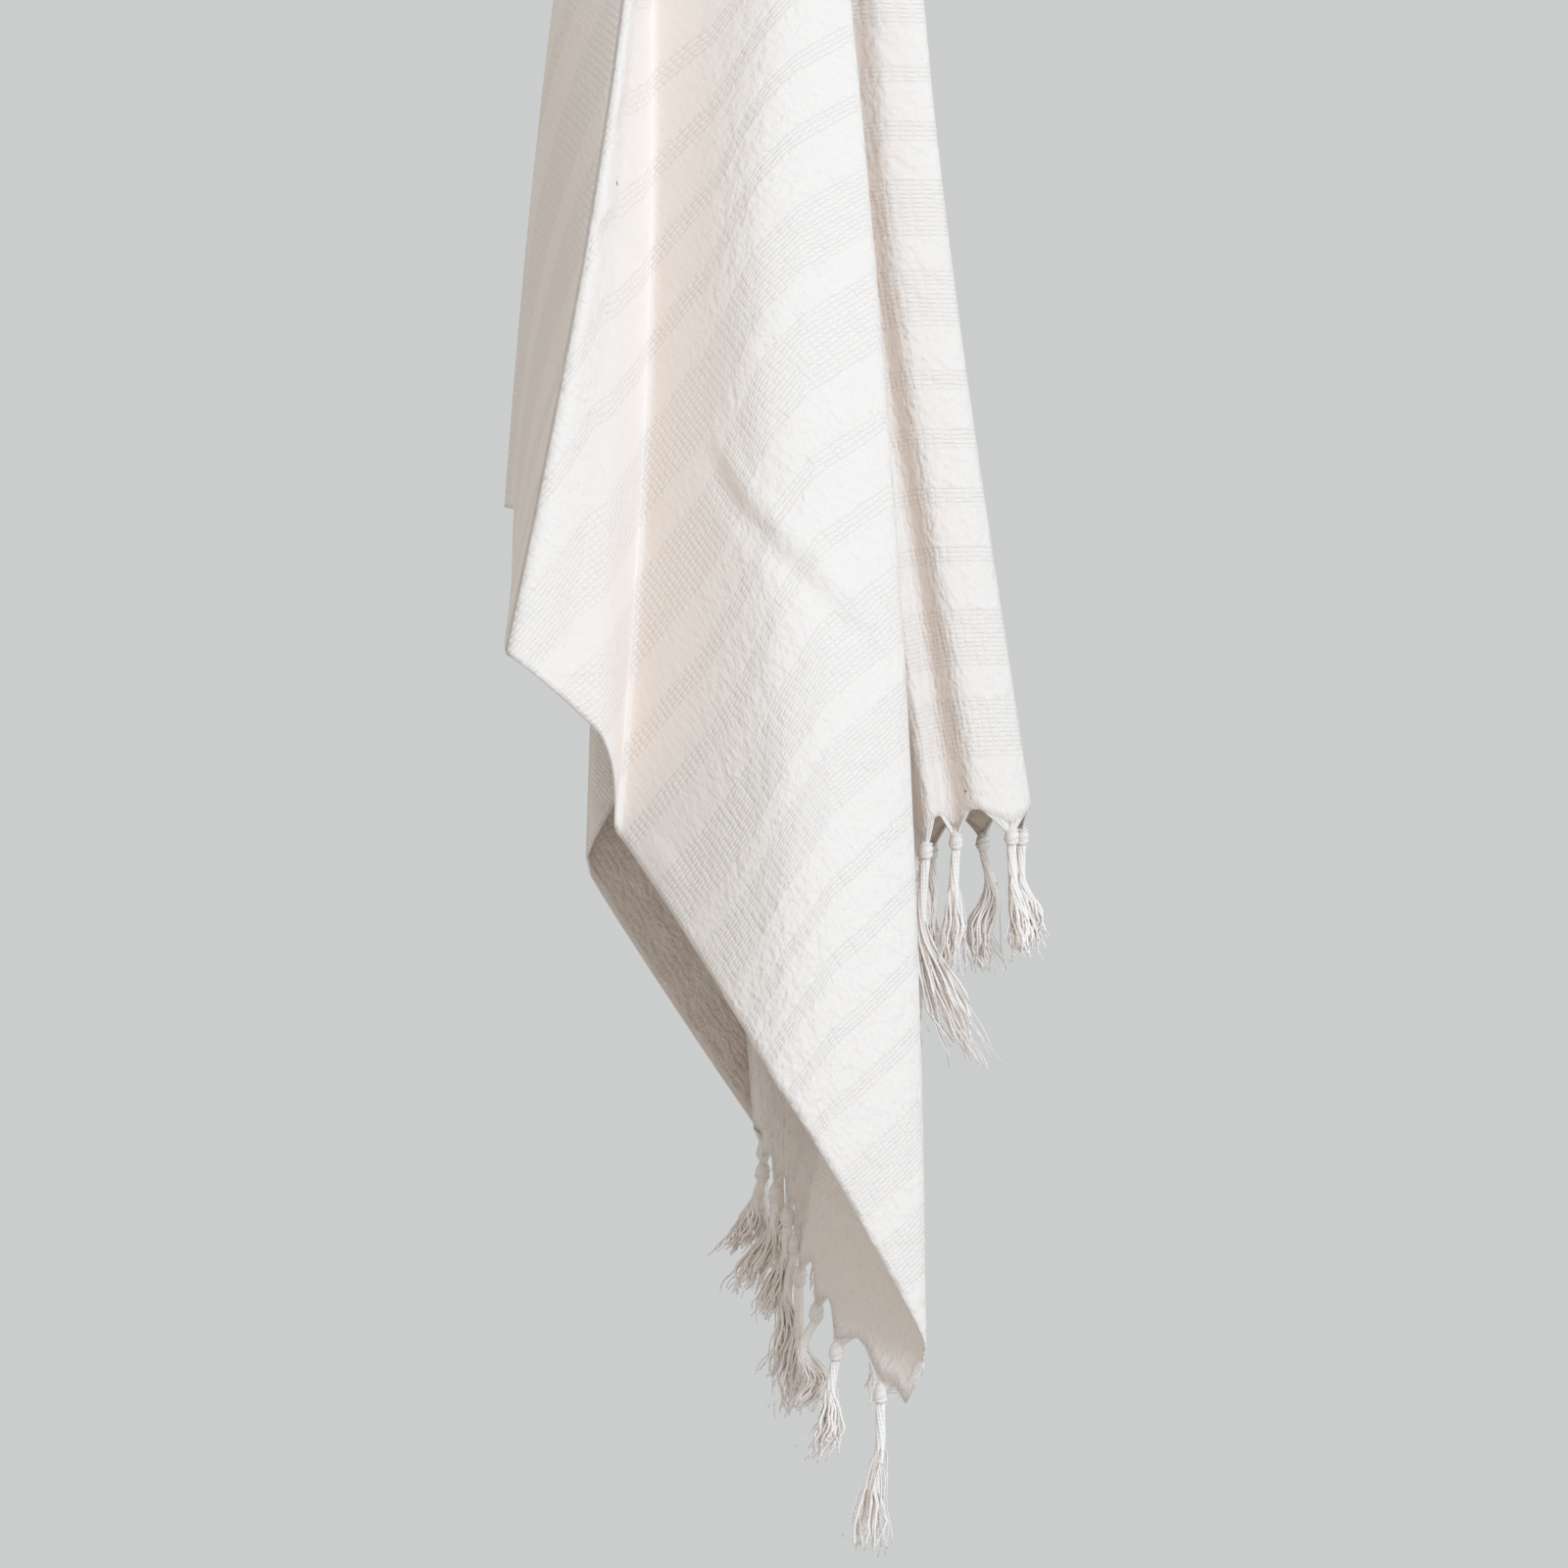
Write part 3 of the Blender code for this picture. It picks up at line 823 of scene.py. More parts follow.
    def _mark_crinkles(self, cloth: bpy.types.Object, phis: Array, rows: int) -> None:
        """Writes to the mesh how strongly it is crinkled, for the material to read.

        Args:
            cloth: The sheet's object.
            phis: The columns' directions, in degrees.
            rows: Number of rows of each side.
        """
        turns = [-crinkle.phi for crinkle in CRINKLES]
        shares = np.interp(-phis, turns, [crinkle.share for crinkle in CRINKLES])
        values = np.concatenate([[self.tip_crinkle] * 2, np.tile(shares, 2 * rows)])
        marks = cloth.data.attributes.new(CRINKLE, "FLOAT", "POINT")
        marks.data.foreach_set("value", values.astype(np.float32))

    def build(self) -> bpy.types.Object:
        """Makes the sheet with its thickness.

        Returns:
            The cloth's object.
        """
        phis = self._columns()
        reach = np.array([self.flat.reach(phi) for phi in phis])
        self.drape.prepare(phis)
        neck = np.repeat(np.array(self.neck_depths)[:, None], len(phis), axis=1)
        last = self.neck_depths[-1]
        steps = (np.arange(self.body_rows) + 1) / self.body_rows
        depths = np.vstack([neck, last + (reach - last)[None, :] * steps[:, None]])
        middle = self.drape.grid(depths)
        middle = self._press(middle, self._grid_normals(middle), phis)
        turn = np.radians(phis)[None, :]
        u, v = depths * np.cos(turn), depths * np.sin(turn)
        flat = np.stack([u + self._band_lift(phis, u), v], axis=-1)
        made = self._solid(middle, self._grid_normals(middle), flat)
        self._mark_crinkles(made, phis, len(depths))
        return made


LONG_POSES = {
    22: TasselPose(-9, -6, 97, 10, 0.45),
    21: TasselPose(-12, -4, 68, 9, 0.25),
    20: TasselPose(-10, -4, 62, 7, 0.3),
    19: TasselPose(-6, -3, 86, 9, 0.25),
    18: TasselPose(-14, -2, 83, 8, 0.25),
    17: TasselPose(-14, -3, 66, 7, 0.3),
    16: TasselPose(-19, -2, 66, 11, 0.2),
    15: TasselPose(-19, -1, 55, 9, 0.2),
}
SHORT_POSES = {
    7: TasselPose(-6, 0, 118, 12, 0.3),
    8: TasselPose(31, 0, 134, 15, 0.25, 3.2),
    9: TasselPose(-4, -2, 84, 6.5, 0.25),
    10: TasselPose(8, -4, 78, 7, 0.3),
    11: TasselPose(8, 0, 72, 6, 0.3),
    12: TasselPose(2, 0, 84, 10, 0.15),
}
COMMON_POSE = TasselPose(0, 0, 72, 7, 0.3)


def smooth_curve(path: Array, steps: int) -> Array:
    """Draws a smooth curve through a few points.

    Args:
        path: The points, a row each.
        steps: Number of points of the curve.

    Returns:
        Its points, a row each.
    """
    count = len(path)
    t = np.linspace(0, count - 1, steps)
    k = np.clip(np.floor(t).astype(int), 0, count - 2)
    padded = np.vstack([2 * path[0] - path[1], path, 2 * path[-1] - path[-2]])
    s = (t - k)[:, None]
    a, b, c, d = padded[k], padded[k + 1], padded[k + 2], padded[k + 3]
    squares = (2 * a - 5 * b + 4 * c - d) * s**2
    cubes = (3 * b - 3 * c + d - a) * s**3
    return 0.5 * (2 * b + (c - a) * s + squares + cubes)


def follow(axis: Array, s: Array) -> Array:
    """Points of a middle line at the shares s of its length."""
    places = np.linspace(0, 1, len(axis))
    return np.column_stack([np.interp(s, places, axis[:, k]) for k in range(3)])


@dataclass(frozen=True)
class Knot:
    """A round overhand knot of one whole bunch. All sizes but the radius are shares of it."""

    radius: float = 0.0044
    core: float = 0.9
    core_height: float = 1.4
    core_full: float = 1.05
    core_end: float = 0.15
    core_rings: int = 11
    core_sides: int = 12
    wraps: int = 3
    wrap_levels: float = 0.9
    wrap_ring: float = 0.8
    wrap_tilt: float = 0.4
    wrap_turn: float = 0.9
    wrap_radius: float = 0.24
    wrap_points: int = 19
    wrap_sides: int = 5

    def build(self, parts: MeshParts, centre: Array) -> None:
        """Adds the knot.

        Args:
            parts: Mesh it is added to.
            centre: Its centre.
        """
        rise = np.linspace(1, -1, self.core_rings)
        core = centre + np.outer(rise, [0, 0, self.radius * self.core_height])
        girth = np.sqrt(np.clip(self.core_full - rise**2, self.core_end, 1.0))
        parts.tube(core, self.radius * self.core * girth, self.core_sides)
        t = np.linspace(0, 2 * math.pi, self.wrap_points)
        for k in range(self.wraps):
            level = self.wrap_levels * (k / (self.wraps - 1) - 0.5)
            ring = self.radius * self.wrap_ring * math.sqrt(1 - level**2)
            rise = self.radius * (level + self.wrap_tilt * np.sin(t + self.wrap_turn * k))
            path = centre + np.column_stack([ring * np.cos(t), ring * np.sin(t), rise])
            parts.tube(path, np.full(len(t), self.radius * self.wrap_radius), self.wrap_sides)


@dataclass(frozen=True)
class Yarns:
    """The wavy yarns of a bunch, which run twisted below the knot, swell and end unevenly."""

    count: int = 26
    radius: float = 0.00095
    end_radius: float = 0.00035
    sides: int = 4
    neck: float = 0.0021
    shortest: float = 0.35
    shortening: float = 1.6
    widest_at: float = 0.6
    drawn_in: float = 0.55
    spreads: tuple[float, float] = (0.6, 1.1)
    apart: float = 2.4
    turns: float = 0.9
    untwist: float = 0.2
    wave: float = 0.0015
    waves: tuple[float, float] = (16, 30)
    phases: tuple[float, float] = (0, 6)
    taper: float = 0.3
    around: float = 6

    def add(
        self, parts: MeshParts, axis: Array, pose: TasselPose, k: int, rng: np.random.Generator
    ) -> None:
        """Adds one yarn.

        Args:
            parts: Mesh it is added to.
            axis: Middle line of the bunch.
            pose: How the tassel hangs.
            k: The yarn's number.
            rng: Source of its uneven shape.
        """
        s = np.linspace(0, 1 - self.shortest * rng.random() ** self.shortening, len(axis))
        path = follow(axis, s)
        free = np.clip((s - pose.twisted) / (1 - pose.twisted), 0, 1)
        rising = np.clip(free / self.widest_at, 0, 1)
        falling = np.clip((free - self.widest_at) / (1 - self.widest_at), 0, 1)
        swell = rising**2 * (3 - 2 * rising) * (1 - self.drawn_in * falling)
        out = math.sqrt((k + 0.5) / self.count)
        wider = (pose.flare / MM - self.neck) * swell * rng.uniform(*self.spreads)
        spread = out * (self.neck + wider)
        twist = np.minimum(s, pose.twisted + self.untwist)
        turn = self.apart * k + 2 * math.pi * self.turns * twist
        for axis_number, circle in ((0, np.cos), (1, np.sin)):
            waves, phase = rng.uniform(*self.waves), rng.uniform(*self.phases)
            sway = self.wave * free * np.sin(waves * s + phase)
            path[:, axis_number] += circle(turn) * spread + sway
        radii = self.radius * (1 - self.taper * free)
        radii[-1] = self.end_radius
        parts.tube(path, radii, self.sides, self.radius * self.around)


@dataclass(frozen=True)
class Hairs:
    """The loose threads of a bunch's frayed part."""

    count: int = 16
    radius: float = 0.00035
    sides: int = 3
    steps: int = 10
    starts: tuple[float, float] = (0.25, 0.7)
    ends: tuple[float, float] = (0.8, 1.04)
    overhang: float = 0.07
    neck: float = 0.0021
    spreads: tuple[float, float] = (0.6, 1.25)
    swerve: float = 0.8
    wave: float = 0.0014
    waves: tuple[float, float] = (14, 26)
    phases: tuple[float, float] = (0, 6)
    around: float = 6

    def add(self, parts: MeshParts, axis: Array, flare: float, rng: np.random.Generator) -> None:
        """Adds one thread.

        Args:
            parts: Mesh it is added to.
            axis: Middle line of the bunch.
            flare: Half width of the frayed part, in mm.
            rng: Source of its uneven shape.
        """
        start = rng.uniform(*self.starts)
        end = rng.uniform(*self.ends)
        s = np.linspace(start, end, self.steps)
        path = follow(axis, s)
        path[:, 2] -= np.maximum(s - 1, 0) * self.overhang
        turn = rng.uniform(0, 2 * math.pi) + rng.normal(0, self.swerve) * (s - start)
        out = (s - start) / (end - start)
        spread = self.neck + flare / MM * np.sqrt(out) * rng.uniform(*self.spreads)
        wave = self.wave * out * np.sin(rng.uniform(*self.waves) * s + rng.uniform(*self.phases))
        path[:, 0] += np.cos(turn) * spread + wave
        path[:, 1] += np.sin(turn) * spread - wave
        parts.tube(path, np.full(len(s), self.radius), self.sides, self.radius * self.around)


@dataclass(frozen=True)
class Tassel:
    """A bunch of warp yarns that run together below the hem, are knotted and fray out."""

    knot: Knot = field(default_factory=Knot)
    yarns: Yarns = field(default_factory=Yarns)
    hairs: Hairs = field(default_factory=Hairs)
    knot_drop: float = 0.0092
    knot_aside: float = 0.06
    gathered: int = 13
    gathered_steps: int = 6
    gathered_sides: int = 4
    gathered_share: float = 0.8
    gathered_meet: float = 0.6
    gathered_lift: float = 0.0012
    gathered_uneven: float = 0.0003
    bunch_start: float = 0.8
    bow: float = 0.0022
    bow_places: tuple[tuple[float, int], ...] = ((0.34, 1), (0.68, -1))
    steps: int = 16

    def build(self, parts: MeshParts, hem: Array, pose: TasselPose, seed: int) -> None:
        """Adds one tassel.

        Args:
            parts: Mesh it is added to.
            hem: Points of the hem its yarns come from, a row each, its root in the middle one.
            pose: How it hangs.
            seed: Number its uneven shape is drawn from.
        """
        rng = np.random.default_rng(seed)
        root = hem[len(hem) // 2]
        aside = np.array([pose.tip_x, pose.tip_y, 0]) / MM * self.knot_aside
        knot = root + aside - np.array([0, 0, self.knot_drop])
        self._gather(parts, hem, knot, rng)
        self.knot.build(parts, knot)
        tip = root + np.array([pose.tip_x / MM, pose.tip_y / MM, -pose.length / MM])
        axis = self._axis(knot, tip, pose.late, rng)
        for k in range(self.yarns.count):
            self.yarns.add(parts, axis, pose, k, rng)
        for _ in range(self.hairs.count):
            self.hairs.add(parts, axis, pose.flare, rng)

    def _gather(self, parts: MeshParts, hem: Array, knot: Array, rng: np.random.Generator) -> None:
        """Adds the yarns that run from the hem together in the knot.

        Args:
            parts: Mesh they are added to.
            hem: Points of the hem they come from, a row each.
            knot: The knot's centre.
            rng: Source of their uneven shape.
        """
        lift = np.array([0, 0, self.gathered_lift])
        radii = np.full(self.gathered_steps, self.yarns.radius * self.gathered_share)
        for start in hem:
            middle = start * (1 - self.gathered_meet) + knot * self.gathered_meet + lift
            middle = middle + rng.normal(0, self.gathered_uneven, 3)
            path = smooth_curve(np.array([start, middle, knot]), self.gathered_steps)
            parts.tube(path, radii, self.gathered_sides)

    def _axis(self, knot: Array, tip: Array, late: float, rng: np.random.Generator) -> Array:
        """Draws the middle line of the bunch below the knot.

        Args:
            knot: The knot's centre.
            tip: The tassel's lowest point.
            late: How late on its way down it turns aside.
            rng: Source of its bow.

        Returns:
            Points of the line, a row each.
        """
        first = knot - np.array([0, 0, self.knot.radius * self.bunch_start])
        bow = rng.normal(0, self.bow, 3) * np.array([1, 1, 0])
        middle = []
        for down, side in self.bow_places:
            aside = down**late
            middle.append(first + (tip - first) * np.array([aside, aside, down]) + side * bow)
        return smooth_curve(np.array([first, *middle, tip]), self.steps)


@dataclass
class Fringe:
    """All tassels of one end."""

    flat: FlatCloth
    drape: Drape
    end: End
    poses: dict[int, TasselPose]
    tassel: Tassel = field(default_factory=Tassel)
    gather: float = 0.8
    hem_inset: float = 0.0015

    def _hem(self, weft: float) -> Array:
        """Places the points of the hem that run together in one tassel.

        Args:
            weft: The tassel's distance from the hanging point along the weft, in metres.

        Returns:
            The points, a row each.
        """
        count = self.tassel.gathered
        points = []
        for k in range(count):
            aside = (k / (count - 1) - 0.5) * self.flat.pitch * self.gather
            phi = math.degrees(math.atan2(weft + aside, self.flat.end_at(self.end)))
            reach = self.flat.reach(phi) - self.hem_inset
            turn = math.radians(phi)
            points.append(self.drape.place(reach * math.cos(turn), reach * math.sin(turn)))
        return np.array(points)

    def build(self) -> bpy.types.Object:
        """Makes the end's tassels.

        Returns:
            One object with all of them.
        """
        parts = MeshParts()
        for number, weft in enumerate(self.flat.tassel_wefts(), start=1):
            pose = self.poses.get(number, COMMON_POSE)
            self.tassel.build(parts, self._hem(weft), pose, number)
        return parts.make(f"fringe_{self.end.value}")

    def nodes(self) -> list[str]:
        """Names of the frame's tassels that these stand for."""
        return [f"tassel_{self.end.value}_{k + 1:02d}" for k in range(self.flat.tassels)]


class Graph:
    """Adds shader nodes to a tree and links them."""

    def __init__(self, tree: bpy.types.NodeTree) -> None:
        """Starts on a tree."""
        self.tree = tree

    def fill(self, node: bpy.types.Node, inputs: dict[str | int, Value]) -> None:
        """Links or sets some of a node's inputs.

        Args:
            node: The node.
            inputs: Sockets to link, or values, by the input's name or number.
        """
        for name, value in inputs.items():
            if isinstance(value, bpy.types.NodeSocket):
                self.tree.links.new(value, node.inputs[name])
            else:
                node.inputs[name].default_value = value

    def add(
        self, kind: str, inputs: dict[str | int, Value] | None = None, **settings: object
    ) -> bpy.types.Node:
        """Adds a node.

        Args:
            kind: The node's type, without its first words.
            inputs: Sockets to link, or values, by the input's name or number.
            settings: The node's own settings.

        Returns:
            The node.
        """
        node = self.tree.nodes.new(f"ShaderNode{kind}")
        for name, value in settings.items():
            setattr(node, name, value)
        self.fill(node, inputs or {})
        return node

    def math(self, operation: str, *values: Value) -> bpy.types.NodeSocket:
        """Adds a maths node and gives its result."""
        return self.add("Math", dict(enumerate(values)), operation=operation).outputs[0]

    def chain(self, operation: str, first: Value, *others: Value) -> bpy.types.NodeSocket:
        """Adds maths nodes that take in one value after another.

        Args:
            operation: What each of them does.
            first: The first value.
            others: The values that are taken in.

        Returns:
            The last one's result.
        """
        result = first
        for value in others:
            result = self.math(operation, result, value)
        return result

    def mix(self, factor: Value, first: Value, second: Value) -> bpy.types.NodeSocket:
        """Adds a colour mix and gives its result."""
        return self.add("Mix", {0: factor, 6: first, 7: second}, data_type="RGBA").outputs[2]

    def bump(self, height: Value, strength: float) -> bpy.types.NodeSocket:
        """Adds a bump over a height in metres and gives its normal."""
        inputs = {"Height": height, "Strength": strength, "Distance": 1.0}
        return self.add("Bump", inputs).outputs[0]

    def flat_place(self) -> list[bpy.types.NodeSocket]:
        """Reads the flat coordinates, along the warp and across it on the cloth."""
        flat = self.add("UVMap", uv_map=FLAT_MAP).outputs[0]
        return self.add("SeparateXYZ", {0: flat}).outputs[:2]

    def ramp(self, value: Value, stops: Sequence[tuple[float, float]]) -> bpy.types.NodeSocket:
        """Adds a curve of grey values over 0 to 1.

        Args:
            value: Place on the curve.
            stops: Places and levels of its corners, in order.

        Returns:
            The curve's level.
        """
        node = self.add("ValToRGB", {0: value})
        elements = node.color_ramp.elements
        elements[0].position, elements[1].position = stops[0][0], stops[-1][0]
        for element, stop in ((elements[0], stops[0]), (elements[1], stops[-1])):
            element.color = (stop[1], stop[1], stop[1], 1)
        for place, level in stops[1:-1]:
            elements.new(place).color = (level, level, level, 1)
        return node.outputs[0]


def new_group(name: str, outputs: Sequence[str]) -> bpy.types.NodeTree:
    """Makes a shader node group that puts out values.

    Args:
        name: The group's name.
        outputs: Names of its outputs.

    Returns:
        The group, with its input and output nodes.
    """
    group = bpy.data.node_groups.new(name, "ShaderNodeTree")
    for label in outputs:
        group.interface.new_socket(label, in_out="OUTPUT", socket_type="NodeSocketFloat")
    group.nodes.new("NodeGroupInput")
    group.nodes.new("NodeGroupOutput")
    return group


def new_material(name: str) -> tuple[bpy.types.Material, bpy.types.Node]:
    """Makes a material.

    Args:
        name: Its name.

    Returns:
        The material and its shader.
    """
    material = bpy.data.materials.new(name)
    material.use_nodes = True
    return material, material.node_tree.nodes["Principled BSDF"]


@dataclass(frozen=True)
class BandPlan:
    """Where the basket-woven bands lie, in metres along the warp from the long end."""

    middle: float = 0.196
    half_repeat: float = 0.2055
    bands: tuple[tuple[float, float], ...] = (
        (0.011, 0.022), (0.044, 0.055), (0.0795, 0.1125), (0.1295, 0.1625), (0.184, 0.195),
    )
    first: float = 0.0335
    last: float = 1.5915
    edge: float = 0.0008

    def stops(self) -> list[tuple[float, float]]:
        """Lists the steps of the bands over one half repeat.

        Returns:
            Places, from 0 to 1, and levels.
        """
        made = []
        for start, end in self.bands:
            made += [(start - self.edge, 0.0), (start + self.edge, 1.0)]
            made += [(end - self.edge, 1.0), (end + self.edge, 0.0)]
        return [(place / self.half_repeat, level) for place, level in made]

    def group(self, flat: FlatCloth) -> bpy.types.NodeTree:
        """Makes the group that tells basket bands from plain ones.

        Args:
            flat: The flat cloth.

        Returns:
            The group, which puts out the bands and the flat coordinates.
        """
        tree = new_group("towel bands", ["Basket", "Across", "Along"])
        graph = Graph(tree)
        along, across = graph.flat_place()
        from_end = graph.math("SUBTRACT", flat.to_long_end, along)
        folded = graph.math("SUBTRACT", from_end, self.middle)
        repeat = graph.math("PINGPONG", folded, self.half_repeat)
        bands = graph.ramp(graph.math("DIVIDE", repeat, self.half_repeat), self.stops())
        after = graph.math("GREATER_THAN", from_end, self.first)
        before = graph.math("LESS_THAN", from_end, self.last)
        basket = graph.chain("MULTIPLY", bands, after, before)
        output = tree.nodes["Group Output"]
        graph.fill(output, {"Basket": basket, "Across": across, "Along": along})
        return tree


@dataclass(frozen=True)
class ClothFinish:
    """The undyed cotton weave, with a little painted shade in the basket grooves, heights in metres
    and scales, across and along, per metre.
    """

    cream: Colour = (0.92, 0.81, 0.725, 1)
    # Painted shade: the grooves between the basket cells get this slightly darker colour for the
    # shade that falls in them.
    groove_shade: Colour = (0.912, 0.80, 0.715, 1)
    fleck: Colour = (0.33, 0.20, 0.10, 1)
    roughness: float = 0.9
    specular: float = 0.2
    glow: float = 0.2
    glow_depths: tuple[float, float, float] = (0.0014, 0.0012, 0.0010)
    cell_across: float = 0.0042
    cell_along: float = 0.00255
    cell_height: float = 0.0005
    rib_power: float = 0.45
    row_power: float = 0.4
    checker: float = 0.16
    wobble: float = 2.6
    wobble_scale: tuple[float, float] = (90, 90)
    crepe_height: float = 0.0004
    crinkled_height: float = 0.0011
    crepe_in_basket: float = 0.3
    fine_scale: tuple[float, float] = (300, 180)
    fine_detail: float = 4.0
    broad_height: float = 0.0021
    broad_scale: tuple[float, float] = (115, 75)
    fleck_scale: tuple[float, float] = (45, 45)
    fleck_rarity: float = 0.94
    fleck_radius: float = 0.045
    plan: BandPlan = field(default_factory=BandPlan)

    def build(self, flat: FlatCloth) -> bpy.types.Material:
        """Makes the material.

        Args:
            flat: The flat cloth.

        Returns:
            The material.
        """
        material, shader = new_material("cotton weave")
        graph = Graph(material.node_tree)
        basket, across, along = graph.add("Group", node_tree=self.plan.group(flat)).outputs
        place = (across, along)
        cells = self._cells(graph, place)
        # Painted shade: the grooves of the basket bands take the darker groove colour in place of
        # the cream.
        grooves = graph.math("MULTIPLY", basket, graph.math("SUBTRACT", 1.0, cells))
        woven = graph.mix(grooves, self.cream, self.groove_shade)
        height = self._height(graph, place, basket, cells)
        graph.fill(shader, {
            "Base Color": graph.mix(self._flecks(graph, place), woven, self.fleck),
            "Roughness": self.roughness,
            "Specular IOR Level": self.specular,
            "Subsurface Weight": self.glow,
            "Subsurface Radius": self.glow_depths,
            "Subsurface Scale": 1.0,
            "Normal": graph.bump(height, 1.0),
        })
        return material

    @staticmethod
    def _scaled(graph: Graph, place: Place, scale: tuple[float, float]) -> Value:
        """Flat coordinates, across and along, at their own scale each."""
        x, y = (graph.math("MULTIPLY", value, turns) for value, turns in zip(place, scale))
        return graph.add("CombineXYZ", {0: x, 1: y}).outputs[0]

    def _noise(
        self, graph: Graph, place: Place, scale: tuple[float, float], detail: float = 2.0
    ) -> Value:
        """Uneven values around a half, at their own scale each way."""
        vector = self._scaled(graph, place, scale)
        return graph.add("TexNoise", {"Vector": vector, "Scale": 1.0, "Detail": detail}).outputs[0]

    def _cells(self, graph: Graph, place: Place) -> Value:
        """Draws the raised cells of the basket weave.

        Args:
            graph: The material's graph.
            place: Flat coordinates, across and along.

        Returns:
            About 1 on top of a cell and 0 in the grooves.
        """
        uneven = graph.math("SUBTRACT", self._noise(graph, place, self.wobble_scale), 0.5)
        shift = graph.math("MULTIPLY", uneven, self.wobble)
        waves = []
        for value, size in zip(place, (self.cell_across, self.cell_along)):
            turn = graph.math("MULTIPLY", value, math.pi / size)
            waves.append(graph.math("SINE", graph.math("ADD", turn, shift)))
        sign = graph.math("SIGN", graph.math("MULTIPLY", *waves))
        checker = graph.math("MULTIPLY_ADD", sign, self.checker, 1 - self.checker)
        ribs, rows = (
            graph.math("POWER", graph.math("ABSOLUTE", wave), power)
            for wave, power in zip(waves, (self.rib_power, self.row_power))
        )
        return graph.chain("MULTIPLY", ribs, rows, checker)

    def _height(self, graph: Graph, place: Place, basket: Value, cells: Value) -> Value:
        """Adds up the basket bands' cells, the plain bands' fine crepe and the broad crinkles.

        Args:
            graph: The material's graph.
            place: Flat coordinates, across and along.
            basket: 1 in the basket bands.
            cells: The raised cells.

        Returns:
            The height in metres.
        """
        raised = graph.chain("MULTIPLY", basket, cells, self.cell_height)
        crinkle = graph.add("Attribute", attribute_name=CRINKLE).outputs["Fac"]
        plain = graph.math("MULTIPLY_ADD", basket, self.crepe_in_basket - 1, 1.0)
        rough = graph.math("MULTIPLY_ADD", crinkle, self.crinkled_height, self.crepe_height)
        fine = self._noise(graph, place, self.fine_scale, self.fine_detail)
        crepe = graph.math("MULTIPLY", fine, graph.math("MULTIPLY", rough, plain))
        broad = self._noise(graph, place, self.broad_scale)
        folds = graph.chain("MULTIPLY", broad, self.broad_height, crinkle)
        return graph.chain("ADD", raised, crepe, folds)

    def _flecks(self, graph: Graph, place: Place) -> Value:
        """Draws the few small brown flecks of seed husk.

        Args:
            graph: The material's graph.
            place: Flat coordinates, across and along.

        Returns:
            1 on a fleck.
        """
        vector = self._scaled(graph, place, self.fleck_scale)
        cells = graph.add("TexVoronoi", {"Vector": vector, "Scale": 1.0})
        drawn = graph.add("SeparateColor", {0: cells.outputs["Color"]}).outputs[0]
        chosen = graph.math("GREATER_THAN", drawn, self.fleck_rarity)
        near = graph.math("LESS_THAN", cells.outputs["Distance"], self.fleck_radius)
        return graph.math("MULTIPLY", chosen, near)


@dataclass(frozen=True)
class YarnFinish:
    """The tassels' cotton yarn, with a fine twist."""

    cream: Colour = (1.0, 0.905, 0.825, 1)
    roughness: float = 0.9
    specular: float = 0.2
    twist_around: float = 900.0
    twist_along: float = 2600.0
    twist_height: float = 0.00015
    twist_strength: float = 0.4

    def build(self) -> bpy.types.Material:
        """Makes the material.

        Returns:
            The material.
        """
        material, shader = new_material("cotton yarn")
        graph = Graph(material.node_tree)
        around, along = graph.flat_place()
        turn = graph.math("MULTIPLY", around, self.twist_around)
        run = graph.math("MULTIPLY", along, self.twist_along)
        twist = graph.math("SINE", graph.math("ADD", turn, run))
        height = graph.math("MULTIPLY", twist, self.twist_height)
        graph.fill(shader, {
            "Base Color": self.cream,
            "Roughness": self.roughness,
            "Specular IOR Level": self.specular,
            "Normal": graph.bump(height, self.twist_strength),
        })
        return material


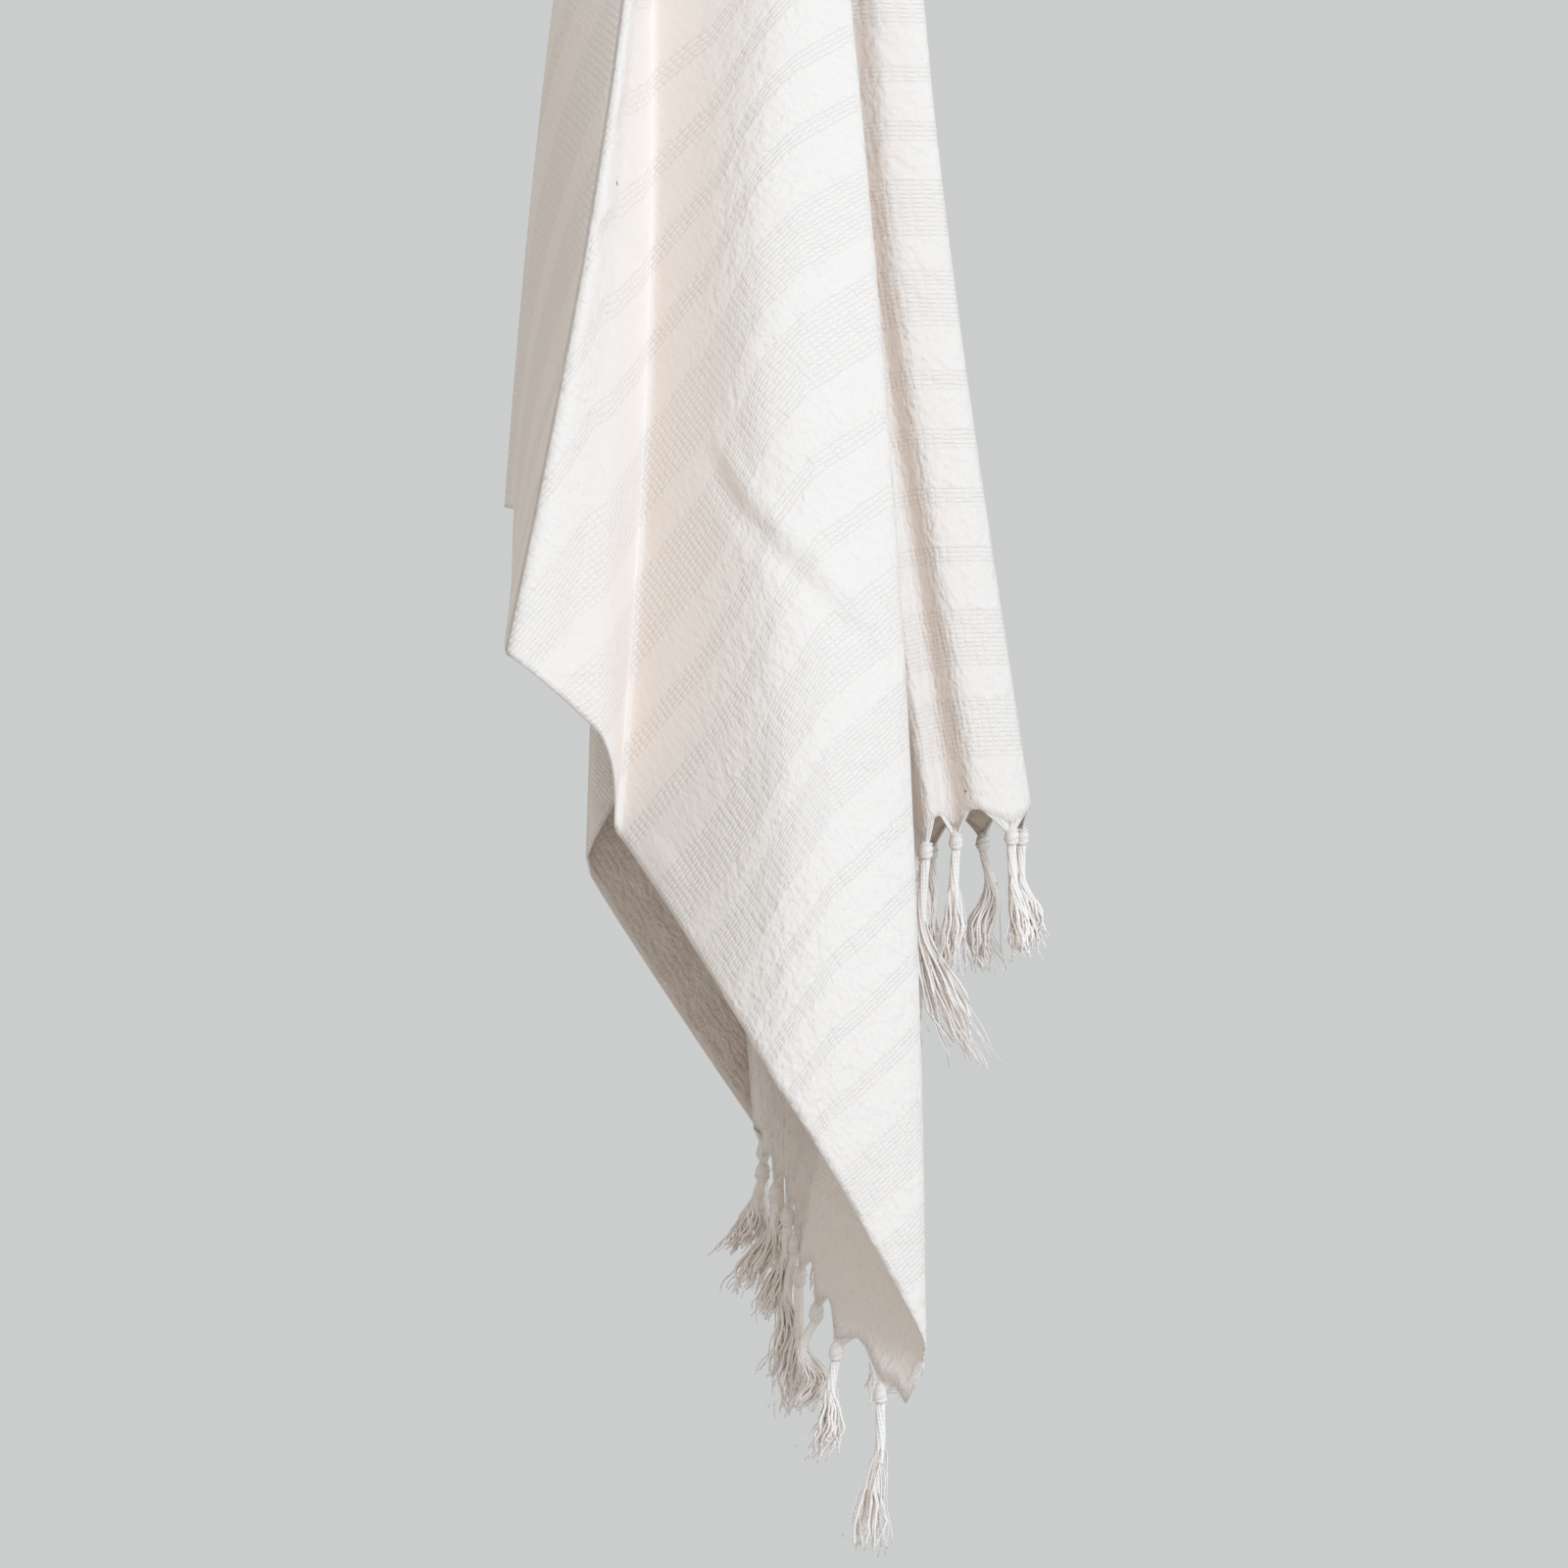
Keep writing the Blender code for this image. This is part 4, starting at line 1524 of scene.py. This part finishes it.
@dataclass(frozen=True)
class Studio:
    """Camera, light, background and floor."""

    camera_place: tuple[float, float, float] = (0.0237, -6.0, -0.704)
    lens: float = 245.45
    sensor: float = 36
    sight: float = 40
    wall: Colour = (0.60, 0.61, 0.61, 1)
    floor_level: float = -1.9
    floor_size: float = 6.0
    key_place: tuple[float, float, float] = (2.0, -2.9, 0.4)
    key_aim: tuple[float, float, float] = (0.0, 0.0, -0.6)
    key_colour: tuple[float, float, float] = (0.66, 0.82, 1.0)
    key_power: float = 84.0
    key_size: float = 1.2

    def build(self) -> None:
        """Sets up the studio."""
        self._camera()
        self._world()
        self._key()
        self._floor()

    def _camera(self) -> None:
        """Level camera far in front of the towel."""
        bpy.ops.object.camera_add(location=self.camera_place, rotation=(math.pi / 2, 0, 0))
        camera = bpy.context.object
        camera.data.lens = self.lens
        camera.data.sensor_width = self.sensor
        camera.data.clip_end = self.sight
        bpy.context.scene.camera = camera
        bpy.context.scene.view_settings.view_transform = "Standard"

    def _world(self) -> None:
        """Even pale light from all round."""
        world = bpy.data.worlds.new("studio")
        world.use_nodes = True
        world.node_tree.nodes["Background"].inputs["Color"].default_value = self.wall
        bpy.context.scene.world = world

    def _key(self) -> None:
        """Large soft light at the right in front."""
        bpy.ops.object.light_add(type="AREA", location=self.key_place)
        light = bpy.context.object
        light.name = "key light"
        light.data.energy = self.key_power
        light.data.color = self.key_colour
        light.data.size = self.key_size
        aim = Vector(self.key_aim) - Vector(self.key_place)
        light.rotation_euler = aim.to_track_quat("-Z", "Y").to_euler()

    def _floor(self) -> None:
        """Plain pale floor far below the towel."""
        bpy.ops.mesh.primitive_plane_add(size=self.floor_size, location=(0, 0, self.floor_level))
        floor = bpy.context.object
        floor.name = "floor"
        material, shader = new_material("floor")
        shader.inputs["Base Color"].default_value = self.wall
        floor.data.materials.append(material)


def dress(
    piece: bpy.types.Object, material: bpy.types.Material, nodes: Sequence[str]
) -> None:
    """Gives a piece its material and its place in the frame.

    Args:
        piece: The piece.
        material: Its material.
        nodes: The frame's nodes it stands for.
    """
    piece.data.materials.append(material)
    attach(piece, "root")
    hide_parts(*nodes)
    LOG.info("%s: %d faces", piece.name, len(piece.data.polygons))


def main() -> None:
    """Builds the towel and its studio."""
    flat = FlatCloth()
    drape = Drape(flat)
    cloth = TowelCloth(flat, drape).build()
    dress(cloth, ClothFinish().build(flat), ["towel_cloth"])
    yarn = YarnFinish().build()
    for end, poses in ((End.SHORT, SHORT_POSES), (End.LONG, LONG_POSES)):
        fringe = Fringe(flat, drape, end, poses)
        made = fringe.build()
        dress(made, yarn, fringe.nodes())
    Studio().build()


if __name__ == "__main__":
    logging.basicConfig(level=logging.INFO)
    main()
